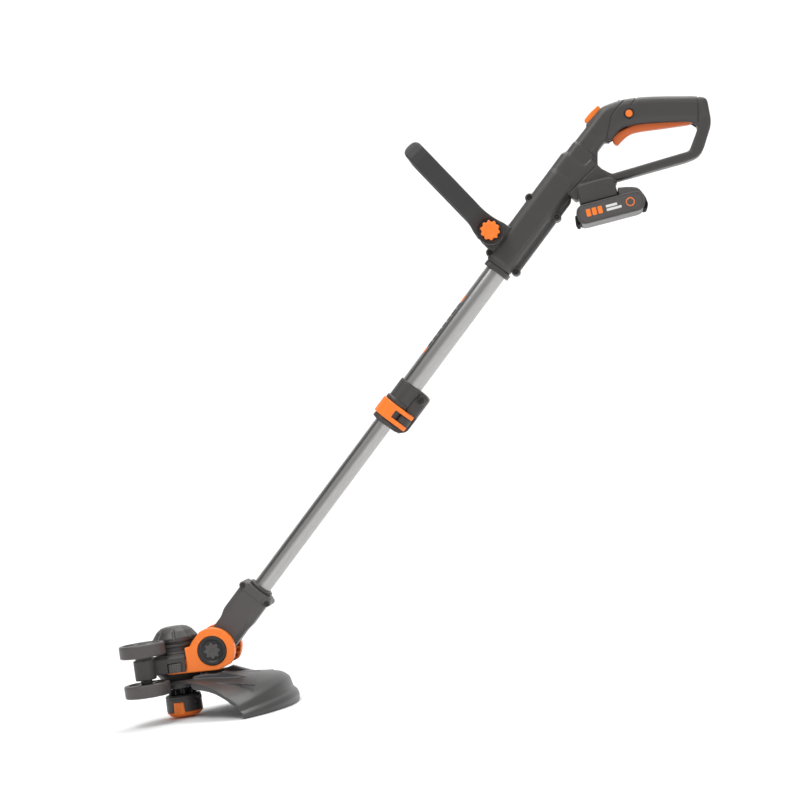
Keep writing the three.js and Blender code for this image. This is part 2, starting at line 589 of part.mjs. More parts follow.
buildHandle();
buildClamp();
buildAuxHandle();
buildBattery();
buildLowerShaft();
buildYoke();
buildMotor();
buildGuard();
buildSpool();
buildWheels();

export default trimmer;
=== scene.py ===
"""Looks of a battery string trimmer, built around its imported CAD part.

Every sub-assembly is a class that sculpts its pieces as solids on a fine grid, or turns them as profiles,
in the frame of the part it belongs to, and dresses them in procedural finishes.
Lengths inside the sub-assemblies are millimetres; the scene is in metres.
"""

import json
import logging
import math
from dataclasses import dataclass, field
from enum import Enum
from typing import Optional, Sequence, Union

import bpy
import numpy as np
import openvdb
from mathutils import Matrix, Vector


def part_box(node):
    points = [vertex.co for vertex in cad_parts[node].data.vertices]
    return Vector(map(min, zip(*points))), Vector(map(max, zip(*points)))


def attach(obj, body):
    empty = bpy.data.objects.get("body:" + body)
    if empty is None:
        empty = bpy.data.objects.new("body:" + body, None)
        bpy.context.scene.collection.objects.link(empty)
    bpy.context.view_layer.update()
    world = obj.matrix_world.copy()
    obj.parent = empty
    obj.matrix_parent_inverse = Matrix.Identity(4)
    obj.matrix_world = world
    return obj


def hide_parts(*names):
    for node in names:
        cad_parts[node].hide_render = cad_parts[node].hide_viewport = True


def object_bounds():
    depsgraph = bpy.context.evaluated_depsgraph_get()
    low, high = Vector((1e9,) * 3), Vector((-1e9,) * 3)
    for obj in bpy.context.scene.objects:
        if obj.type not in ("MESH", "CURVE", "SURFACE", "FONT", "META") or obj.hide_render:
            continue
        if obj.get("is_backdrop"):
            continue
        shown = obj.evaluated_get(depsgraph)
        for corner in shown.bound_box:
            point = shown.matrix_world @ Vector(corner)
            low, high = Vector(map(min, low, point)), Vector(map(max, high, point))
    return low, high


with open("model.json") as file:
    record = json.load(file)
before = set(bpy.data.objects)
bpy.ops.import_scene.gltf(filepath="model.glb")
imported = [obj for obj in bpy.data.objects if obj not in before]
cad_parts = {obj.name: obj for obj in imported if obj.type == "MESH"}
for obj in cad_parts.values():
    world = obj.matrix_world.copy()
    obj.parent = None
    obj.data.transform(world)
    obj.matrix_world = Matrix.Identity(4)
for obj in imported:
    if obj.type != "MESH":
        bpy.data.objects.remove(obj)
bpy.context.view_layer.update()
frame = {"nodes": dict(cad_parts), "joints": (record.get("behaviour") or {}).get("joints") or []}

MM = 0.001
FAR = 12.0  # millimetres, the distance given to points no shape has reached
LOG = logging.getLogger("trimmer")

Array = np.ndarray
Point = Sequence[float]
Corner = Sequence[float]


# ---------------------------------------------------------------- frames
@dataclass(frozen=True)
class Place:
    """A right-handed frame in the row frame.

    Args:
        origin: where its zero lies, in metres.
        turn: its x, y and z axes as the columns of a 3 by 3 array.
    """

    origin: Array
    turn: Array

    def points(self, local: Array) -> Array:
        """Local millimetres as row-frame metres."""
        return local @ self.turn.T * MM + self.origin

    def directions(self, local: Array) -> Array:
        """Local directions as row-frame directions."""
        return local @ self.turn.T

    def moved(self, x: float = 0.0, y: float = 0.0, z: float = 0.0, lean: float = 0.0) -> "Place":
        """A frame at a local point, turned about the local y axis.

        Args:
            x: local millimetres along x.
            y: local millimetres along y.
            z: local millimetres along z.
            lean: degrees from x towards z.

        Returns:
            The new frame.
        """
        c, s = math.cos(math.radians(lean)), math.sin(math.radians(lean))
        swing = np.array([[c, 0.0, -s], [0.0, 1.0, 0.0], [s, 0.0, c]])
        return Place(self.points(np.array([[x, y, z]], float))[0], self.turn @ swing)


def box_centre(node: str) -> Array:
    """The middle of a CAD node's box, in metres."""
    low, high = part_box(node)
    return np.array((low + high) / 2)


def joint_axis(name: str) -> Array:
    """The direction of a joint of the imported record."""
    found = next(j for j in frame["joints"] if j["name"] == name)
    return np.array(found["axis"], float)


class Places:
    """The frames of the trimmer, taken from the CAD nodes' boxes and the joints' axes."""

    def __init__(self) -> None:
        """Finds the head's pivot first, then every other frame from it."""
        pivot = box_centre("pivot_bolt") * (1, 0, 1)
        along = joint_axis("telescope")
        across = np.array([along[2], 0.0, -along[0]])
        self.shaft = Place(pivot, np.array([across, [0.0, 1.0, 0.0], along]).T)
        self.head = Place(pivot, np.eye(3))
        motor = box_centre("motor_shaft") * (1, 1, 0) + pivot * (0, 0, 1)
        self.motor = Place(motor, np.eye(3))
        wheels = box_centre("upper_wheel") * (1, 1, 0) + pivot * (0, 0, 1)
        self.wheels = Place(wheels, np.eye(3))
        slide = joint_axis("battery_slide")
        up = np.array([-slide[2], 0.0, slide[0]])
        cells = box_centre("battery_cells") * (1, 0, 1)
        self.pack = Place(cells + up * 2.0 * MM, np.array([slide, [0.0, 1.0, 0.0], up]).T)
        loop = box_centre("aux_bolt") * (1, 0, 1)
        tilt = math.radians(AUX_TILT)
        out = across * math.cos(tilt) - along * math.sin(tilt)
        rise = across * math.sin(tilt) + along * math.cos(tilt)
        self.loop = Place(loop, np.array([out, [0.0, 1.0, 0.0], rise]).T)


AUX_TILT = 9.5
PACK_LEAN = 51.0


# ---------------------------------------------------------------- outlines
def rounded(corners: Sequence[Corner], closed: bool = True, steps: int = 6) -> Array:
    """A polyline through corners, each rounded by an arc-like curve.

    Args:
        corners: (u, v) or (u, v, rounding) in millimetres.
        closed: whether the last corner joins the first.
        steps: points on each rounded corner.

    Returns:
        The polyline's points, one per row.
    """
    points: list[Array] = []
    count = len(corners)
    for index, corner in enumerate(corners):
        here = np.array(corner[:2], float)
        reach = corner[2] if len(corner) > 2 else 0.0
        ends = not closed and index in (0, count - 1)
        if not reach or ends:
            points.append(here)
            continue
        sides = []
        for other in (corners[index - 1], corners[(index + 1) % count]):
            leg = np.array(other[:2], float) - here
            sides.append(here + leg * min(reach / max(np.linalg.norm(leg), 1e-9), 0.49))
        for t in np.linspace(0, 1, steps):
            points.append((1 - t) ** 2 * sides[0] + 2 * t * (1 - t) * here + t**2 * sides[1])
    return np.array(points)


def polygon_distance(polygon: Array, u: Array, v: Array) -> Array:
    """Signed distance to a closed polygon, negative inside.

    Args:
        polygon: its points, one per row.
        u: first coordinate, any shape that broadcasts with v.
        v: second coordinate.

    Returns:
        The distances, in the broadcast shape.
    """
    best = np.full(np.broadcast(u, v).shape, 1e12, np.float32)
    inside = np.zeros(best.shape, bool)
    for a, b in zip(polygon, np.roll(polygon, -1, axis=0)):
        e = b - a
        length = float(e @ e)
        if length < 1e-12:
            continue
        pu, pv = u - np.float32(a[0]), v - np.float32(a[1])
        t = np.clip((pu * np.float32(e[0]) + pv * np.float32(e[1])) / np.float32(length), 0, 1)
        du, dv = pu - np.float32(e[0]) * t, pv - np.float32(e[1]) * t
        np.minimum(best, du * du + dv * dv, out=best)
        spans = (a[1] > v) != (b[1] > v)
        if e[1]:
            inside ^= spans & (pu < e[0] * pv / e[1])
    return np.where(inside, -1, 1).astype(np.float32) * np.sqrt(best)


def circle(radius: float, count: int = 48, lobes: int = 0, depth: float = 0.0, sharp: float = 1.0) -> Array:
    """A closed circle, or a lobed one.

    Args:
        radius: mean radius in millimetres.
        count: points round it.
        lobes: how many lobes it has.
        depth: how far a lobe rises above the mean radius.
        sharp: above 1 squares the lobes off.

    Returns:
        The points, one per row.
    """
    angle = np.linspace(0, 2 * np.pi, count, endpoint=False)
    wave = np.tanh(sharp * np.cos(lobes * angle)) / math.tanh(sharp) if lobes else 0.0 * angle
    r = radius + depth * wave
    return np.stack([r * np.cos(angle), r * np.sin(angle)], axis=1)


# ---------------------------------------------------------------- shapes
class Side(Enum):
    """The two axes that an outline is drawn on, then the axis that it is thickened along."""

    XZ = (0, 2, 1)
    XY = (0, 1, 2)
    YZ = (1, 2, 0)


Bounds = tuple[Array, Array]


class Shape:
    """A solid given by its signed distance."""

    def bounds(self) -> Bounds:
        """Its lowest and highest corner."""
        raise NotImplementedError

    def distance(self, x: Array, y: Array, z: Array) -> Array:
        """Signed distance at points, negative inside."""
        raise NotImplementedError


@dataclass
class Brick(Shape):
    """A box with rounded edges.

    Args:
        low: lowest corner.
        high: highest corner.
        edge: rounding radius.
    """

    low: Point
    high: Point
    edge: float = 1.0

    def bounds(self) -> Bounds:
        """Its lowest and highest corner."""
        return np.array(self.low, float), np.array(self.high, float)

    def distance(self, x: Array, y: Array, z: Array) -> Array:
        """Signed distance at points, negative inside."""
        q = []
        for value, a, b in zip((x, y, z), self.low, self.high):
            q.append(np.abs(value - (a + b) / 2) - ((b - a) / 2 - self.edge))
        inner = np.minimum(np.maximum(q[0], np.maximum(q[1], q[2])), 0)
        outer = np.sqrt(sum(np.maximum(part, 0) ** 2 for part in q))
        return inner + outer - self.edge


def capped(a: Array, w: Array, solid: Union["Slab", "Rod"]) -> Array:
    """Distance to an outline carried along an axis, with rounded edges.

    Args:
        a: distance to the outline, grown by the rounding.
        w: where the points lie along the axis.
        solid: says where the axis starts and ends, and the rounding.
    """
    b = np.abs(w - (solid.low + solid.high) / 2) - ((solid.high - solid.low) / 2 - solid.edge)
    return np.minimum(np.maximum(a, b), 0) + np.hypot(np.maximum(a, 0), np.maximum(b, 0)) - solid.edge


def oblong(low_u: float, low_v: float, high_u: float, high_v: float, rounding: float) -> list[Corner]:
    """The four corners of a rounded oblong."""
    corners = [(low_u, low_v), (high_u, low_v), (high_u, high_v), (low_u, high_v)]
    return [(u, v, rounding) for u, v in corners]


@dataclass
class Slab(Shape):
    """An outline thickened along one axis, with rounded edges.

    Args:
        outline: corners of (u, v, rounding), or a ready polyline.
        low: where it starts along its axis.
        high: where it ends.
        edge: rounding radius of the edges.
        side: the axes that the outline is drawn on.
        centre: added to the outline's corners.
    """

    outline: Union[Sequence[Corner], Array]
    low: float
    high: float
    edge: float = 1.0
    side: Side = Side.XZ
    centre: Point = (0.0, 0.0)

    def polygon(self) -> Array:
        """The outline as a polyline."""
        ready = self.outline if isinstance(self.outline, np.ndarray) else rounded(self.outline)
        return ready + np.array(self.centre)

    def bounds(self) -> Bounds:
        """Its lowest and highest corner."""
        points = self.polygon()
        low, high = np.zeros(3), np.zeros(3)
        u, v, w = self.side.value
        low[[u, v]], high[[u, v]] = points.min(0), points.max(0)
        low[w], high[w] = self.low, self.high
        return low, high

    def distance(self, x: Array, y: Array, z: Array) -> Array:
        """Signed distance at points, negative inside."""
        axes = (x, y, z)
        u, v, w = (axes[k] for k in self.side.value)
        a = polygon_distance(self.polygon(), u, v) + self.edge
        return capped(a, w, self)


@dataclass
class HoledSlab(Slab):
    """A slab with an opening through it, rounded on both of its edges.

    Args:
        hole: corners of the opening's outline.
    """

    hole: Sequence[Corner] = field(default_factory=list)

    def distance(self, x: Array, y: Array, z: Array) -> Array:
        """Signed distance at points, negative inside."""
        axes = (x, y, z)
        u, v, w = (axes[k] for k in self.side.value)
        outer = polygon_distance(self.polygon(), u, v)
        inner = polygon_distance(rounded(self.hole) + np.array(self.centre), u, v)
        a = np.maximum(outer, -inner) + self.edge
        return capped(a, w, self)


@dataclass
class Rod(Shape):
    """A cylinder, or a cone, with rounded ends.

    Args:
        radius: its radius, or (radius at low, radius at high).
        low: where it starts along its axis.
        high: where it ends.
        edge: rounding radius of the ends.
        side: its axis is the third of these.
        centre: where the axis crosses the other two.
    """

    radius: Union[float, tuple[float, float]]
    low: float
    high: float
    edge: float = 0.5
    side: Side = Side.XY
    centre: Point = (0.0, 0.0)

    def bounds(self) -> Bounds:
        """Its lowest and highest corner."""
        u, v, w = self.side.value
        reach = max(self.radius) if isinstance(self.radius, tuple) else self.radius
        low, high = np.zeros(3), np.zeros(3)
        low[[u, v]] = np.array(self.centre) - reach
        high[[u, v]] = np.array(self.centre) + reach
        low[w], high[w] = self.low, self.high
        return low, high

    def distance(self, x: Array, y: Array, z: Array) -> Array:
        """Signed distance at points, negative inside."""
        axes = (x, y, z)
        u, v, w = (axes[k] for k in self.side.value)
        r = np.hypot(u - self.centre[0], v - self.centre[1])
        if isinstance(self.radius, tuple):
            first, last = self.radius
            slope = (last - first) / (self.high - self.low)
            a = (r - (first + slope * (w - self.low))) / math.hypot(1, slope) + self.edge
        else:
            a = r - self.radius + self.edge
        return capped(a, w, self)


@dataclass
class Turned(Shape):
    """A closed profile turned about the z axis.

    Args:
        profile: corners of (radius, z, rounding).
        centre: where the axis stands.
    """

    profile: Sequence[Corner]
    centre: Point = (0.0, 0.0)

    def polygon(self) -> Array:
        """The profile as a polyline."""
        return rounded(self.profile, steps=4)

    def bounds(self) -> Bounds:
        """Its lowest and highest corner."""
        points = self.polygon()
        reach, low, high = points[:, 0].max(), points[:, 1].min(), points[:, 1].max()
        centre = np.array([*self.centre, 0.0])
        return centre + (-reach, -reach, low), centre + (reach, reach, high)

    def distance(self, x: Array, y: Array, z: Array) -> Array:
        """Signed distance at points, negative inside."""
        r = np.hypot(x - self.centre[0], y - self.centre[1])
        return polygon_distance(self.polygon(), r, z)


@dataclass
class Wire(Shape):
    """A round bar along a chain of points.

    Args:
        path: its points, each three millimetre values.
        radius: the bar's radius, or one for each point.
        squash: how much thinner it is along z.
    """

    path: Sequence[Point]
    radius: Union[float, Sequence[float]]
    squash: float = 1.0

    def radii(self) -> Array:
        """The radius at each point."""
        return np.broadcast_to(np.array(self.radius, float), (len(self.path),))

    def bounds(self) -> Bounds:
        """Its lowest and highest corner."""
        points, reach = np.array(self.path, float), self.radii().max()
        return points.min(0) - reach, points.max(0) + reach

    def distance(self, x: Array, y: Array, z: Array) -> Array:
        """Signed distance at points, negative inside."""
        best = None
        radii = self.radii()
        points = np.array(self.path, float)
        for a, b, ra, rb in zip(points, points[1:], radii, radii[1:]):
            e = b - a
            px, py, pz = x - a[0], y - a[1], z - a[2]
            t = np.clip((px * e[0] + py * e[1] + pz * e[2]) / float(e @ e), 0, 1)
            dz = (pz - e[2] * t) / self.squash
            d = np.sqrt((px - e[0] * t) ** 2 + (py - e[1] * t) ** 2 + dz**2) - (ra + (rb - ra) * t)
            best = d if best is None else np.minimum(best, d)
        return best


@dataclass
class Posed(Shape):
    """A shape moved and turned about the y or z axis.

    Args:
        shape: the shape in its own frame.
        offset: where its own zero goes.
        lean: degrees about y, from x towards z.
        swing: degrees about z, from x towards y.
    """

    shape: Shape
    offset: Point = (0.0, 0.0, 0.0)
    lean: float = 0.0
    swing: float = 0.0

    def matrix(self) -> Array:
        """Its own axes as columns."""
        c, s = math.cos(math.radians(self.lean)), math.sin(math.radians(self.lean))
        p, q = math.cos(math.radians(self.swing)), math.sin(math.radians(self.swing))
        lean = np.array([[c, 0, -s], [0, 1, 0], [s, 0, c]])
        return lean @ np.array([[p, -q, 0], [q, p, 0], [0, 0, 1]])

    def bounds(self) -> Bounds:
        """Its lowest and highest corner."""
        low, high = self.shape.bounds()
        corners = np.array([[(low, high)[i >> k & 1][k] for k in range(3)] for i in range(8)])
        placed = corners @ self.matrix().T + np.array(self.offset)
        return placed.min(0), placed.max(0)

    def distance(self, x: Array, y: Array, z: Array) -> Array:
        """Signed distance at points, negative inside."""
        m = self.matrix()
        dx, dy, dz = x - self.offset[0], y - self.offset[1], z - self.offset[2]
        own = []
        for k in range(3):
            parts = [m[i, k] * d for i, d in enumerate((dx, dy, dz)) if abs(m[i, k]) > 1e-9]
            own.append(sum(parts[1:], parts[0]).astype(np.float32))
        return self.shape.distance(*own)


# ---------------------------------------------------------------- sculpting
@dataclass
class Surface:
    """A mesh before it is an object.

    Args:
        points: vertices, one per row.
        faces: lists of triangles and quads as index arrays.
        normals: one per vertex, or None for the mesh's own.
    """

    points: Array
    faces: list[Array]
    normals: Optional[Array] = None


class Sculpt:
    """A solid on a grid, built up by joining, cutting and engraving shapes."""

    def __init__(self, low: Point, high: Point, step: float) -> None:
        """Starts empty.

        Args:
            low: lowest corner of the room it needs, in millimetres.
            high: highest corner.
            step: the grid's spacing.
        """
        margin = 3 * step
        self.step = step
        self.axes = [
            np.arange(a - margin, b + margin, step, dtype=np.float32) for a, b in zip(low, high)
        ]
        self.low = np.array([axis[0] for axis in self.axes], float)
        self.values = np.full([len(axis) for axis in self.axes], FAR, np.float32)

    def window(self, shape: Shape, spare: float) -> tuple[tuple[slice, ...], list[Array]]:
        """The part of the grid round a shape, and its coordinates."""
        low, high = shape.bounds()
        cuts, parts = [], []
        for k, axis in enumerate(self.axes):
            first = int(np.searchsorted(axis, low[k] - spare))
            last = int(np.searchsorted(axis, high[k] + spare))
            cuts.append(slice(first, max(last, first)))
            form = [1, 1, 1]
            form[k] = -1
            parts.append(axis[first:last].reshape(form))
        return tuple(cuts), parts

    def _merge(self, shape: Shape, blend: float, sign: float) -> "Sculpt":
        """Joins a shape (sign 1), or cuts it away (sign -1), with a fillet of about blend."""
        cuts, parts = self.window(shape, FAR / 2 + blend)
        if any(part.size == 0 for part in parts):
            return self
        have = self.values[cuts] * sign
        other = shape.distance(*parts).astype(np.float32)
        made = np.minimum(have, other)
        if blend:
            overlap = np.maximum(blend - np.abs(have - other), 0) / blend
            made = made - overlap * overlap * np.float32(blend / 4)
        self.values[cuts] = made * sign
        return self

    def add(self, shape: Shape, blend: float = 0.0) -> "Sculpt":
        """Joins a shape to the solid."""
        return self._merge(shape, blend, 1.0)

    def cut(self, shape: Shape, blend: float = 0.0) -> "Sculpt":
        """Cuts a shape out of the solid."""
        return self._merge(shape, blend, -1.0)

    def keep(self, shape: Shape, blend: float = 0.0) -> "Sculpt":
        """Keeps only what lies inside a shape."""
        parts = [axis.reshape([-1 if i == k else 1 for i in range(3)]) for k, axis in enumerate(self.axes)]
        other = shape.distance(*parts).astype(np.float32)
        made = np.maximum(self.values, other)
        if blend:
            overlap = np.maximum(blend - np.abs(self.values - other), 0) / blend
            made = made + overlap * overlap * np.float32(blend / 4)
        self.values = np.array(np.broadcast_to(made, self.values.shape), np.float32)
        return self

    def join(self, other: "Sculpt") -> "Sculpt":
        """Joins another sculpt on the same grid."""
        self.values = np.minimum(self.values, other.values)
        return self

    def without(self, other: "Sculpt") -> "Sculpt":
        """Cuts another sculpt on the same grid away."""
        self.values = np.maximum(self.values, -other.values)
        return self

    def within(self, other: "Sculpt") -> "Sculpt":
        """Keeps what lies inside another sculpt on the same grid."""
        self.values = np.maximum(self.values, other.values)
        return self

    def blank(self) -> "Sculpt":
        """An empty sculpt on the same grid."""
        made = Sculpt.__new__(Sculpt)
        made.step, made.axes, made.low = self.step, self.axes, self.low
        made.values = np.full(self.values.shape, FAR, np.float32)
        return made

    def rind(self, depth: float) -> "Sculpt":
        """Keeps only the outermost layer, of a given depth."""
        self.values = np.maximum(self.values, -(self.values + np.float32(depth)))
        return self

    def engrave(self, shape: Shape, depth: float) -> "Sculpt":
        """Sinks the surface by a depth wherever it lies inside a shape."""
        cuts, parts = self.window(shape, 2.0)
        if any(part.size == 0 for part in parts):
            return self
        have = self.values[cuts]
        inside = np.maximum(shape.distance(*parts), -(have + depth))
        self.values[cuts] = np.maximum(have, -inside)
        return self

    def emboss(self, shape: Shape, height: float) -> "Sculpt":
        """Raises the surface by a height wherever it lies inside a shape."""
        cuts, parts = self.window(shape, 2.0)
        have = self.values[cuts]
        self.values[cuts] = np.minimum(have, np.maximum(shape.distance(*parts), have - height))
        return self

    def sample(self, index: Array) -> Array:
        """The field at fractional grid places, one per row."""
        top = np.array(self.values.shape) - 2
        base = np.clip(np.floor(index).astype(int), 0, top)
        f = index - base
        total = np.zeros(len(index))
        for corner in range(8):
            bits = np.array([corner >> k & 1 for k in range(3)])
            weight = np.prod(np.where(bits, f, 1 - f), axis=1)
            at = base + bits
            total += weight * self.values[at[:, 0], at[:, 1], at[:, 2]]
        return total

    def slope(self, index: Array, reach: float) -> Array:
        """The field's gradient at fractional grid places."""
        return np.stack(
            [self.sample(index + reach * e) - self.sample(index - reach * e) for e in np.eye(3)], axis=1
        ) / (2 * reach * self.step)

    def surface(self, detail: float = 0.006) -> Surface:
        """The solid's skin.

        Args:
            detail: 0 keeps every cell; more merges the flat ones.

        Returns:
            Its vertices drawn onto the zero level, its faces, and normals from the field.
        """
        grid = openvdb.FloatGrid(FAR)
        limit = 4 * self.step
        grid.copyFromArray(np.ascontiguousarray(np.clip(self.values, -limit, limit)))
        points, triangles, quads = grid.convertToPolygons(0.0, detail)
        index = points.astype(float)
        for _ in range(2):
            g = self.slope(index, 0.5)
            size = np.maximum((g * g).sum(1), 0.2)
            move = self.sample(index)[:, None] * g / size[:, None] / self.step
            index -= np.clip(move, -0.6, 0.6)
        normals = self.slope(index, 0.9)
        normals /= np.maximum(np.linalg.norm(normals, axis=1), 1e-9)[:, None]
        faces = [part[:, ::-1] for part in (triangles.astype(np.int32), quads.astype(np.int32)) if len(part)]
        return Surface(index * self.step + self.low, faces, normals)


def turned_surface(profile: Sequence[Corner], segments: int = 96, closed: bool = True) -> Surface:
    """A profile turned about z, with points only where it bends.

    Args:
        profile: corners of (radius, z, rounding), anticlockwise with the radius to the right.
        segments: faces round the turn.
        closed: whether the profile is a closed loop.

    Returns:
        The surface.
    """
    line = rounded(profile, closed=closed, steps=5)
    angle = np.linspace(0, 2 * np.pi, segments, endpoint=False)
    rings = [
        np.stack([r * np.cos(angle), r * np.sin(angle), np.full(segments, z)], axis=1) for r, z in line
    ]
    count = len(line)
    quads = []
    for i in range(count if closed else count - 1):
        a = i * segments + np.arange(segments)
        b = (i + 1) % count * segments + np.arange(segments)
        quads.append(np.stack([a, np.roll(a, -1), np.roll(b, -1), b], axis=1))
    return Surface(np.concatenate(rings), [np.concatenate(quads)])


def ribbon(path: Sequence[Point], width: float) -> Array:
    """A polyline widened to a narrow closed outline."""
    points = np.array(path, float)
    along = np.gradient(points, axis=0)
    along /= np.linalg.norm(along, axis=1)[:, None]
    side = np.stack([-along[:, 1], along[:, 0]], axis=1) * width / 2
    return np.concatenate([points + side, (points - side)[::-1]])


# ---------------------------------------------------------------- finishes
class Value:
    """A socket of a node tree that takes part in arithmetic."""

    def __init__(self, tree: "Tree", socket: bpy.types.NodeSocket) -> None:
        """Wraps an output socket."""
        self.tree = tree
        self.socket = socket

    def _math(self, operation: str, other: Union["Value", float], swap: bool = False) -> "Value":
        """One Math node of this value and another."""
        pair = (other, self) if swap else (self, other)
        made = self.tree.node("ShaderNodeMath", {"operation": operation}, dict(enumerate(pair)))
        return Value(self.tree, made.outputs[0])

    def __add__(self, other: Union["Value", float]) -> "Value":
        """Sum."""
        return self._math("ADD", other)

    __radd__ = __add__

    def __sub__(self, other: Union["Value", float]) -> "Value":
        """Difference."""
        return self._math("SUBTRACT", other)

    def __rsub__(self, other: Union["Value", float]) -> "Value":
        """Difference, the other way round."""
        return self._math("SUBTRACT", other, swap=True)

    def __mul__(self, other: Union["Value", float]) -> "Value":
        """Product."""
        return self._math("MULTIPLY", other)

    __rmul__ = __mul__

    def __truediv__(self, other: Union["Value", float]) -> "Value":
        """Quotient."""
        return self._math("DIVIDE", other)

    def __rtruediv__(self, other: Union["Value", float]) -> "Value":
        """Quotient, the other way round."""
        return self._math("DIVIDE", other, swap=True)

    def limited(self) -> "Value":
        """The value kept between 0 and 1."""
        made = self.tree.node("ShaderNodeClamp", {}, {"Value": self})
        return Value(self.tree, made.outputs[0])


Feed = Union[Value, float, Sequence[float]]


class Tree:
    """A material's node tree."""

    def __init__(self, material: bpy.types.Material) -> None:
        """Empties the tree."""
        material.use_nodes = True
        self.nodes = material.node_tree.nodes
        self.links = material.node_tree.links
        self.nodes.clear()

    def node(
        self, kind: str, settings: dict[str, object], feeds: dict[Union[str, int], Feed]
    ) -> bpy.types.Node:
        """A node with its settings and what feeds it.

        Args:
            kind: the node's type.
            settings: properties by name.
            feeds: values or sockets by input name or number.

        Returns:
            The node.
        """
        made = self.nodes.new(kind)
        for name, value in settings.items():
            setattr(made, name, value)
        for name, feed in feeds.items():
            if isinstance(feed, Value):
                self.links.new(feed.socket, made.inputs[name])
            else:
                made.inputs[name].default_value = feed
        return made

    def value(
        self, kind: str, output: Union[str, int], settings: dict[str, object],
        feeds: dict[Union[str, int], Feed]
    ) -> Value:
        """One output of a new node."""
        return Value(self, self.node(kind, settings, feeds).outputs[output])

    def mixed(self, factor: Feed, first: Feed, second: Feed) -> Value:
        """Two colours mixed."""
        node = self.node("ShaderNodeMix", {"data_type": "RGBA"}, {0: factor, 6: first, 7: second})
        return Value(self, node.outputs[2])


@dataclass(frozen=True)
class Finish:
    """A procedural surface: colour with soft mottling, fine grain, uneven gloss, and edges lightened both as
    rubbed wear and as a painted highlight.

    Args:
        name: the material's name.
        slot: the record's material slot; not used.
        colour: linear base colour.
        roughness: mean roughness.
        metallic: 0 or 1.
        grain: grains for each metre.
        relief: height of the grain in millimetres.
        gloss_swing: how far roughness wanders.
        mottle: how far the colour wanders.
        wear_and_highlight: how strongly edges are lightened, as rubbed wear and as a painted highlight.
        worn_and_highlight: the colour of those edges, rubbed and carrying a painted highlight.
        stretch: how much longer the grain is along the shaft.
        sheen: a soft fuzz on rubbery surfaces.
        specular: strength of the dielectric highlight.
    """

    name: str
    slot: str
    colour: tuple[float, float, float]
    roughness: float = 0.5
    metallic: float = 0.0
    grain: float = 1500.0
    relief: float = 0.03
    gloss_swing: float = 0.12
    mottle: float = 0.10
    wear_and_highlight: float = 0.35
    worn_and_highlight: tuple[float, float, float] = (0.2, 0.195, 0.19)
    stretch: float = 1.0
    sheen: float = 0.0
    specular: float = 0.5

    def place(self, tree: Tree) -> Value:
        """Where the textures are read, drawn out along the shaft for stretched grain."""
        spot = tree.value("ShaderNodeTexCoord", "Object", {}, {})
        if self.stretch == 1.0:
            return spot
        turn = (0.0, -math.pi / 4, 0.0)
        turned = tree.value(
            "ShaderNodeMapping", 0, {"vector_type": "POINT"}, {"Vector": spot, "Rotation": turn}
        )
        return tree.value(
            "ShaderNodeVectorMath", 0, {"operation": "MULTIPLY"}, {0: turned, 1: (1.0, 1.0, 1 / self.stretch)}
        )

    def noise(self, tree: Tree, spot: Value, scale: float, detail: float = 2.0) -> Value:
        """Noise between 0 and 1."""
        feeds = {"Vector": spot, "Scale": scale, "Detail": detail, "Roughness": 0.55}
        return tree.value("ShaderNodeTexNoise", 0, {}, feeds)

    def edges(self, tree: Tree) -> Value:
        """A mask of convex and concave edges about a millimetre wide."""
        soft = tree.value("ShaderNodeBevel", 0, {"samples": 4}, {"Radius": 0.9 * MM})
        true = tree.value("ShaderNodeNewGeometry", "Normal", {}, {})
        match = tree.value("ShaderNodeVectorMath", "Value", {"operation": "DOT_PRODUCT"}, {0: soft, 1: true})
        return ((1.0 - match) * 9.0).limited()

    def build(self) -> bpy.types.Material:
        """Makes the material."""
        material = bpy.data.materials.new(self.name)
        tree = Tree(material)
        spot = self.place(tree)
        broad = self.noise(tree, spot, 28.0, 3.0)
        middle = self.noise(tree, spot, 190.0, 4.0)
        fine = self.noise(tree, spot, self.grain, 1.0)
        dark = tuple(c * (1 - self.mottle) for c in self.colour) + (1.0,)
        light = tuple(min(c * (1 + self.mottle), 1.0) for c in self.colour) + (1.0,)
        colour = tree.mixed((broad * 0.6 + middle * 0.4), dark, light)
        # Edges are lightened partly as rubbed wear and partly as a painted highlight.
        wear_and_highlight_mask = (self.edges(tree) * (middle * 1.6 - 0.25).limited() * self.wear_and_highlight).limited()
        colour = tree.mixed(wear_and_highlight_mask, colour, self.worn_and_highlight + (1.0,))
        rough = (middle - 0.5) * self.gloss_swing + (fine - 0.5) * (self.gloss_swing * 0.5) + self.roughness
        rough = (rough - wear_and_highlight_mask * 0.12).limited()
        bump = tree.value(
            "ShaderNodeBump", 0, {}, {
                "Strength": 1.0, "Distance": self.relief * MM, "Height": fine * 0.7 + middle * 0.3
            }
        )
        shader = tree.node(
            "ShaderNodeBsdfPrincipled",
            {},
            {
                "Base Color": colour,
                "Roughness": rough,
                "Metallic": self.metallic,
                "Specular IOR Level": self.specular,
                "Sheen Weight": self.sheen,
                "Sheen Roughness": 0.6,
                "Normal": bump,
            },
        )
        tree.node("ShaderNodeOutputMaterial", {}, {"Surface": Value(tree, shader.outputs[0])})
        return material


